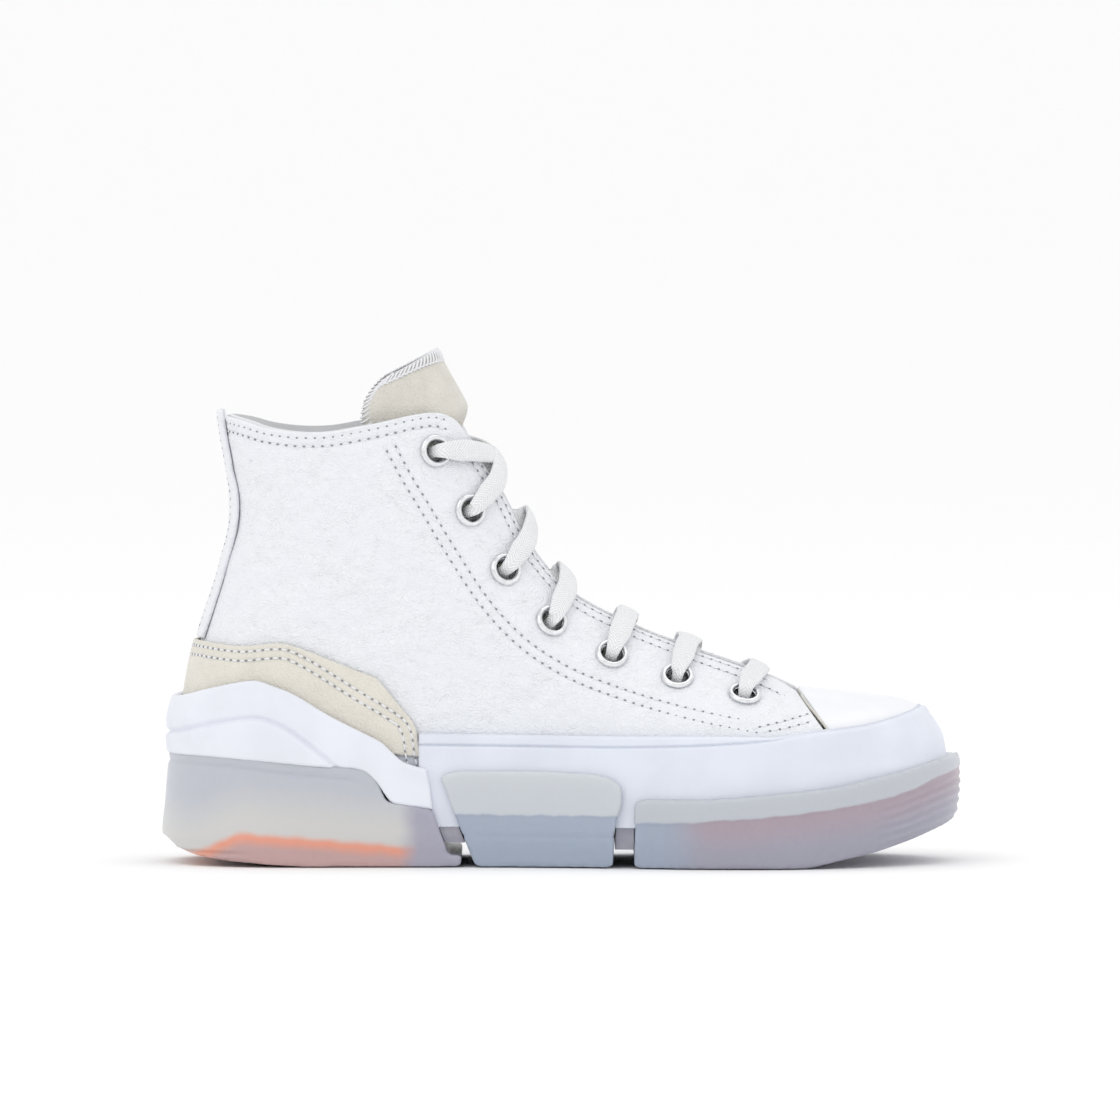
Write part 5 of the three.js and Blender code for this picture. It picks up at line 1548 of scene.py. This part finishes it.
def lace():
    stops = whole_lace()
    per = 9
    path = curve_points([s[0] for s in stops], per)
    share = np.arange(len(path)) / per
    faces = np.array([s[1] for s in stops])
    face = np.column_stack([np.interp(share, np.arange(len(stops)), faces[:, k]) for k in range(3)])
    waist = np.interp(share, np.arange(len(stops)), [s[2] for s in stops])
    way = np.gradient(path, axis=0)
    way /= np.linalg.norm(way, axis=1)[:, None]
    run = lengths(path)
    width = None
    rings, marks = [], []
    sides = 24
    angle = np.linspace(0, 2 * math.pi, sides, endpoint=False)
    # A flattened, soft-cornered oval, a little fuller in the middle than at its woven edges.
    across = np.sign(np.cos(angle)) * np.abs(np.cos(angle)) ** 0.75
    thick = np.sign(np.sin(angle)) * np.abs(np.sin(angle)) ** 0.7
    for p, w, o, pinch, u in zip(path, way, face, waist, run):
        o = o / np.linalg.norm(o)
        flat = np.cross(o, w)
        strength = np.linalg.norm(flat)
        flat = flat / max(strength, 1e-9)
        if width is not None:
            if flat.dot(width) < 0:
                flat = -flat
            kept = width - w * width.dot(w)
            kept /= np.linalg.norm(kept)
            flat = mix(flat, kept, 1 - ease(0.35, 0.9, strength))
            flat /= np.linalg.norm(flat)
        width = flat - w * flat.dot(w)
        width /= np.linalg.norm(width)
        up = np.cross(w, width)
        half = mix(LACE["width"], LACE["waist"], pinch) / 2
        depth = mix(LACE["thickness"] + 0.35, LACE["waist_thickness"] + 0.3, pinch) / 2
        crown = thick * depth * (1 + 0.12 * (1 - across ** 2))
        rings.append(p + np.outer(across * half, width) + np.outer(crown, up))
        marks.append(np.column_stack([np.full(sides, u), across * half]))
    vertices, faces = tube_faces(rings)
    mesh = bpy.data.meshes.new("woven_lace")
    mesh.from_pydata((vertices * MM).tolist(), [], faces)
    uv = mesh.uv_layers.new(name="weave")
    corner = np.empty(len(mesh.loops), np.int32)
    mesh.loops.foreach_get("vertex_index", corner)
    uv.data.foreach_set("uv", np.vstack(marks)[corner].astype(np.float32).ravel())
    bm = bmesh.new()
    bm.from_mesh(mesh)
    bmesh.ops.recalc_face_normals(bm, faces=bm.faces)
    bm.to_mesh(mesh)
    bm.free()
    smooth_shade(mesh)
    settle("woven_lace", mesh, LACE_FINISH, SHOE, "lace_weave", "lace")
    return stops


def aglets(stops):
    low, high = ridge_stop(TAIL_END - 16, 0, TAIL_LIFT)[0], ridge_stop(TAIL_END, 0, TAIL_LIFT)[0]
    way = (low - high) / np.linalg.norm(low - high)
    for name, end in (("aglet_a", stops[0][0]), ("aglet_b", stops[-1][0])):
        share = np.array([0, 0.02, 0.05, 0.5, 0.93, 0.97, 1.0])
        radius = np.array([1.1, 1.33, 1.4, 1.35, 1.4, 1.25, 0.9])
        path = end + way * (2 * GAP + share[:, None] * 16)
        mesh = joined(name, [tube(path, radius, 24)])
        settle(f"lace_tip_{name[-1]}", mesh, FILM_FINISH, SHOE, "tip_plastic", name)


aglets(lace())


# ---------------------------------------------------------------- sole unit

sole_back = through([(0, -134.5), (9, -136.6), (20, -135.6), (34, -134.4), (60, -131)])
sole_toe = through([(0, 131), (10, 134), (15, 135.8), (22, 137), (33, 137.2), (37, 135.6), (60, 133)])
SOLE_HEEL_ROUND, SOLE_TOE_ROUND = 40, 60
RIM, SEAT_DEPTH, POD_WALL, POD_FLOOR = 6, 7, 9, 6


def sole_width(x, z, inset, side):
    """Half-width of the sole at x on a level z, moved in by inset."""
    start, end = sole_back(z) + inset, sole_toe(z) - inset
    heel = np.maximum(0, 1 - (x - start) / (SOLE_HEEL_ROUND - inset))
    toe = np.maximum(0, 1 - (end - x) / (SOLE_TOE_ROUND - inset))
    flare = -1.6 * ease(12, 0, z)
    return (sole_half(x, side) + flare - inset) * np.sqrt(np.maximum(0, 1 - heel * heel - toe * toe))


def sole_ring(z, inset, count=90):
    start, end = float(sole_back(z)) + inset, float(sole_toe(z)) - inset
    x = mix(start, end, (1 - np.cos(np.pi * np.linspace(0, 1, count))) / 2)
    low = np.column_stack([x, centre(x) - sole_width(x, z, inset, LATERAL), np.full(count, z)])
    back = x[-2:0:-1]
    high = np.column_stack([back, centre(back) + sole_width(back, z, inset, MEDIAL), np.full(count - 2, z)])
    return np.vstack([low, high])


def envelope(name, inset, levels):
    vertices, faces = tube_faces([sole_ring(z, inset) for z in levels])
    return new_object(name, joined(name, [(vertices, faces)]))


def across_shoe(name, outline):
    """A side-view outline drawn out across the whole shoe."""
    outline = np.asarray(outline, float)
    rings = [np.column_stack([outline[:, 0], np.full(len(outline), y), outline[:, 1]]) for y in (-80.0, 80.0)]
    return new_object(name, joined(name, [tube_faces(rings)]))


def rounded(points, radius):
    """An outline with its corners turned into arcs."""
    p = np.array(points, float)
    path = []
    for a, b, c in zip(np.roll(p, 1, 0), p, np.roll(p, -1, 0)):
        u, v = a - b, c - b
        lu, lv = np.linalg.norm(u), np.linalg.norm(v)
        r = min(radius, 0.45 * lu, 0.45 * lv)
        start, end = b + u / lu * r, b + v / lv * r
        t = np.linspace(0, 1, 6)[:, None]
        path.append((1 - t) ** 2 * start + 2 * t * (1 - t) * b + t * t * end)
    return np.vstack(path)


HEEL_POD = [(-142, 9), (-135, 9), (-131, 5.6), (-125, 3.4), (-117, 2), (-102, 0.8), (-90, 0), (-33.6, 0),
            (-33.6, 4), (-36, 4), (-38, 4), (-43.6, 19.7), (-58.2, 22), (-59.6, 22.9), (-61.1, 26.7),
            (-62.9, 30.2), (-65.8, 33.1), (-68.7, 33.9), (-78.4, 34.4), (-90, 35.3), (-101.8, 36.8),
            (-119, 38.4), (-142, 38.4)]
MID_POD = [(-28.8, 0), (18, 0), (18.9, 15.7), (21.1, 22.5), (20.8, 27), (17.7, 30.4), (12, 31.8),
           (-4.8, 32.6), (-35.3, 32.6), (-38.7, 31.8), (-40.9, 30.4), (-39.5, 28.2), (-37, 20.8),
           (-32.7, 9.5)]
TOE_POD = [(25.2, 0), (85, 0), (96, 2.4), (108.4, 5), (120.7, 8.8), (132, 13), (142, 18), (142, 37.4),
           (129, 35.6), (120.7, 33.4), (112.5, 31.6), (104.2, 29.8), (96, 27.9), (83.6, 26.4), (63, 24.5),
           (50.7, 23.5), (30, 23.5), (25.8, 22.8)]
SOLE_LEVELS = [-2, 1, 4, 7, 10, 14, 18, 22, 28, 34, 40, 46, 58]
TREAD = 1.3


def pod(name, outline, inset, finish, node, pocket=None):
    """A frosted block: cut from the sole's envelope, seated for the foam, then rounded off."""
    block = envelope(name, inset, SOLE_LEVELS)
    cut(block, across_shoe("outline", rounded(outline, 1.6)), "INTERSECT")
    seat = envelope("seat", RIM + inset, SOLE_LEVELS)
    x = np.linspace(-141, 141, 60)
    under = np.column_stack([x, bed(x) - SEAT_DEPTH])
    cut(seat, across_shoe("seat_line", np.vstack([under, [(141, 70), (-141, 70)]])), "INTERSECT")
    cut(block, seat)
    if pocket:
        x0, x1, lift = pocket
        hollow = envelope("hollow", POD_WALL, SOLE_LEVELS)
        floor = POD_FLOOR + lift
        cut(hollow, across_shoe("pocket", [(x0, floor), (x1, floor), (x1, 60), (x0, 60)]), "INTERSECT")
        cut(block, hollow)
    step = block.modifiers.new("round", "REMESH")
    step.mode, step.voxel_size = "VOXEL", 0.85 * MM
    melt = block.modifiers.new("soften", "SMOOTH")
    melt.factor, melt.iterations = 0.5, 5
    baked(block)
    mesh = block.data
    points, normal = coordinates(mesh), directions(mesh)
    points, band = pod_detail(node, points, normal)
    move_points(mesh, points)
    mesh.attributes.new("band", "FLOAT", "POINT").data.foreach_set("value", band.astype(np.float32))
    smooth_shade(mesh)
    bpy.data.objects.remove(block)
    return settle(name, mesh, finish, SHOE, "frosted_rubber", node)


toe_band = through([(24, 15.3), (46.6, 16), (71.3, 17.7), (87.7, 19.6), (104.2, 22.1), (116.6, 25),
                    (128.9, 29.4), (137, 32.4)])
heel_line = through([(-140, 34.6), (-119.4, 34.6), (-101.8, 33), (-90.1, 31.6), (-78.4, 30.6), (-66, 29)])


def crease(distance, depth, width):
    return -depth * np.exp(-(distance / width) ** 2)


def pod_detail(node, points, normal):
    """Fine lines, bands and ribs in a block's sides, moved along its normals."""
    x, z = points[:, 0], points[:, 2]
    wall = ease(0.55, 0.9, np.linalg.norm(normal[:, :2], axis=1))
    outward = np.abs(points[:, 1] - centre(x)) > 20
    outside = wall * (outward | (np.abs(x) > 118))
    shift = np.zeros(len(points))
    band = z - 17.8
    if node == "outsole_heel":
        band = z - mix(12.6, 6.6, (x + 120) / 70) + 9 * ease(-106, -128, x)
        shift += crease(z - heel_line(x), 0.55, 0.8) * ease(-66, -74, x)
        ribs = 0.5 * np.sin(2 * np.pi * z / 2.6) * ease(7.5, 5.5, z) * ease(-104, -114, x)
        shift += ribs
    elif node == "outsole_midfoot":
        shift += crease(z - 10.5, 0.35, 0.7) + 0.25 * ease(17.4, 18.4, z)
    else:
        above = band = z - toe_band(x)
        shift += 0.5 * ease(-0.6, 0.6, above)
        ribs = 0.32 * np.sin(2 * np.pi * (z - toe_band(x)) / 3.1) * ease(-1.5, -3, above) * ease(104, 116, x)
        shift += ribs
    side = np.where(points[:, 1] < centre(x), LATERAL, MEDIAL)
    room = sole_width(x, 2.0, 0, side) - np.abs(points[:, 1] - centre(x))
    raised = TREAD * ease(-0.5, -0.85, normal[:, 2]) * ease(2.6, 4.4, room) * ease(10, 6, z)
    points = points + normal * (shift * outside)[:, None]
    points[:, 2] += raised
    return points, band


pod("heel_block", HEEL_POD, 0, HEEL_RUBBER, "outsole_heel", (-126, -52, 0))
pod("middle_block", MID_POD, 0, MID_RUBBER, "outsole_midfoot")
pod("toe_block", TOE_POD, 0, TOE_RUBBER, "outsole_forefoot", (38, 124, 5))


# ---------------------------------------------------------------- foxing and footbed

FOXING_TOP = [(-60, 45.2), (-48.6, 45.2), (13.6, 44.6), (38.3, 44.8), (55, 44.9), (66, 44.7), (72, 44.6),
              (79.6, 45.6), (90.2, 46.9), (104.2, 48.3), (112.5, 50), (120.7, 52.3), (126, 54), (131, 54.6)]
foxing_top = through(FOXING_TOP)
bead_height = through([(-60, 3.7), (20, 3.6), (45, 3.1), (60, 2.2), (72, 1.0), (90, 0.6), (140, 0.5)])
FOXING_LOW = 13.5


def foxing_inset(x, z, depth):
    """How far the foam's face stands in from the sole's edge: a bead, the groove under it, then the wall."""
    from_groove = depth - bead_height(x)
    bead = 0.1 + 1.3 * ease(0.9, 0, depth)
    wall = 0.05 + 0.25 * ease(1.2, 0, from_groove)
    groove = 0.85 * np.exp(-(from_groove / 0.42) ** 2)
    lean = 6.4 * ease(40, 57, z) ** 1.2 * ease(88, 126, x)
    return BUMPER + np.where(from_groove < 0, bead, wall) + groove + lean


def foxing():
    """The foam wall round the upper, from one heel overlay round the toe to the other."""
    start = float(overlay_front(44)) + GAP
    t = np.sin(np.linspace(0, 1, 230) * np.pi / 2)
    side = np.concatenate([np.full(len(t), LATERAL), np.full(len(t) - 1, MEDIAL)])
    share = np.concatenate([t, t[-2::-1]])
    depth = np.concatenate([[0, 0.12, 0.3, 0.55], np.linspace(0.85, 6.2, 40), np.linspace(7, 42, 26)])
    rows = []
    for d in depth:
        reach = 131.0
        for _ in range(12):
            z_tip = max(float(foxing_top(reach)) - d, FOXING_LOW)
            reach = float(sole_toe(z_tip) - foxing_inset(reach, z_tip, d))
        x = mix(start, reach, share)
        z = np.maximum(foxing_top(x) - d, FOXING_LOW)
        inset = foxing_inset(x, z, d)
        half = sole_width(x, z, inset, side)
        half = np.where(share >= 1 - 1e-9, 0, half)
        rows.append(np.column_stack([x, centre(x) + side * half, z]))
    face = np.array(rows)
    run = np.gradient(face[30], axis=0)
    out = np.column_stack([run[:, 1], -run[:, 0], np.zeros(len(run))])
    out /= np.linalg.norm(out, axis=1)[:, None]
    thick = FOXING + CUP_GAP - 0.4 - 1.6 * ease(100, 125, face[..., 0]) * ease(44, 52, face[..., 2])
    inner = face - out[None] * thick[..., None]
    vertices = np.vstack([face.reshape(-1, 3), inner.reshape(-1, 3)])
    mesh = tidy_mesh(mesh_of("foam_foxing", vertices, plate_faces(*face.shape[:2])))
    settle("foam_foxing", mesh, FOAM_FINISH, SHOE, "foam", "midsole")

    # The foam under the foot, in the blocks' seats.
    core = envelope("foam_bed", RIM + 0.5, SOLE_LEVELS)
    x = np.linspace(-141, 141, 80)
    top, low = np.column_stack([x, bed(x)]), np.column_stack([x, bed(x) - SEAT_DEPTH + 0.4])
    cut(core, across_shoe("bed_line", np.vstack([low, top[::-1]])), "INTERSECT")
    mesh = core.data
    bpy.data.objects.remove(core)
    settle("foam_bed", mesh, FOAM_FINISH, SHOE, "foam")


foxing()


def footbed(name, low, high, offset, rim, finish, body, slot, node):
    """A plate on the foam's bed, inside the linings, with a rounded edge turned up by rim."""
    z = 40
    rear, front = float(back_of(z)), front_at(z)
    t = np.linspace(0.0, 1, 120)
    x = mix(rear, front, (1 - np.cos(np.pi * mix(0.02, 0.98, t))) / 2)
    edges = [place(x, z, side) for side in (LATERAL, MEDIAL)]
    (lp, lo), (mp, mo) = edges
    lateral, medial = lp + lo * offset, mp + mo * offset
    share = close_to_ends(50, 0.03)
    grid = lateral[:, None, :] + (medial - lateral)[:, None, :] * share[None, :, None]
    across = np.abs(share * 2 - 1)[None, :]
    lift = rim * across ** 4
    top, bottom = grid.copy(), grid.copy()
    top[..., 2] = bed(grid[..., 0]) + high + lift
    bottom[..., 2] = bed(grid[..., 0]) + low
    up = np.tile((0, 0, 1.0), grid.shape[:2] + (1,))
    drop = rim_drop(top, ("low", "high", "start", "end"), 1.2)
    top = top - up * drop[..., None]
    vertices = np.vstack([top.reshape(-1, 3), bottom.reshape(-1, 3)])
    mesh = tidy_mesh(mesh_of(name, vertices, plate_faces(*grid.shape[:2])))
    return settle(name, mesh, finish, body, slot, node)


WALL_INNER = COUNTER_INNER - PLY_GAP - LINING
INSOLE_LOW = PLY_GAP + BOARD + GAP
insole = footbed("insole_pad", INSOLE_LOW, INSOLE_LOW + INSOLE, WALL_INNER - 1.8, 0.8, SOCK_FINISH,
                 INSOLE_BODY, "sock_cloth", "insole")


# ---------------------------------------------------------------- tread

LUG_PITCH, LUG_EDGE = 6.4, 5.0


def lug_spots(low_x, high_x):
    """Places of the hexagon lugs under one block, between two stations, a little higher under the heel's
    turned-up rear."""
    rows = []
    for j, y in enumerate(np.arange(-52, 54, LUG_PITCH * 0.866)):
        for x in np.arange(-124, 128, LUG_PITCH):
            px = x + (LUG_PITCH / 2 if j % 2 else 0)
            side = LATERAL if y < centre(px) else MEDIAL
            room = sole_width(px, 2.0, LUG_EDGE, side) - abs(y - centre(px))
            if low_x < px < high_x and room > 0:
                rows.append((px, y, -0.05 if -90 < px else 0.8 * (-90 - px) / 12 - 0.05))
    return np.array(rows)


def lug_item():
    vertices, faces = [], []
    for r, h in ((2.7, 1.4), (2.6, 0.25), (2.3, 0.05)):
        vertices += [(r * math.cos(a), r * math.sin(a), h) for a in np.arange(6) * math.pi / 3]
    for k in range(2):
        faces += [(k * 6 + i, k * 6 + (i + 1) % 6, k * 6 + 6 + (i + 1) % 6, k * 6 + 6 + i) for i in range(6)]
    faces += [tuple(range(6)), tuple(range(12, 18))[::-1]]
    return new_object("lug_item", joined("lug_item", [(np.array(vertices), faces)]))


for lug_name, low_x, high_x, rubber in (("heel_lugs", -120, -37.5, HEEL_LUG), ("middle_lugs", -25, 14.5, LUG),
                                        ("toe_lugs", 29, 84, LUG)):
    spots = lug_spots(low_x, high_x)
    set_items(lug_name, lug_item(), spots, np.tile((0, 0, 1.0), (len(spots), 1)),
              np.tile((1.0, 0, 0), (len(spots), 1)), rubber, SHOE, "frosted_rubber")


# ---------------------------------------------------------------- pieces that keep the parts' own shape

KEPT = {
    "heel_counter": FIBRE_FINISH, "toe_puff": FIBRE_FINISH, "toe_lining": LINING_FINISH,
    "insole_board": BOARD_FINISH, "shank": METAL_FINISH, "eyestay_lateral": LINING_FINISH,
    "eyestay_medial": LINING_FINISH, "outsole_bridge_rear": LUG, "outsole_bridge_front": LUG,
    **CUSHION_FINISHES,
}
for node_name, node_finish in KEPT.items():
    dress(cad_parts[node_name].data, node_finish)
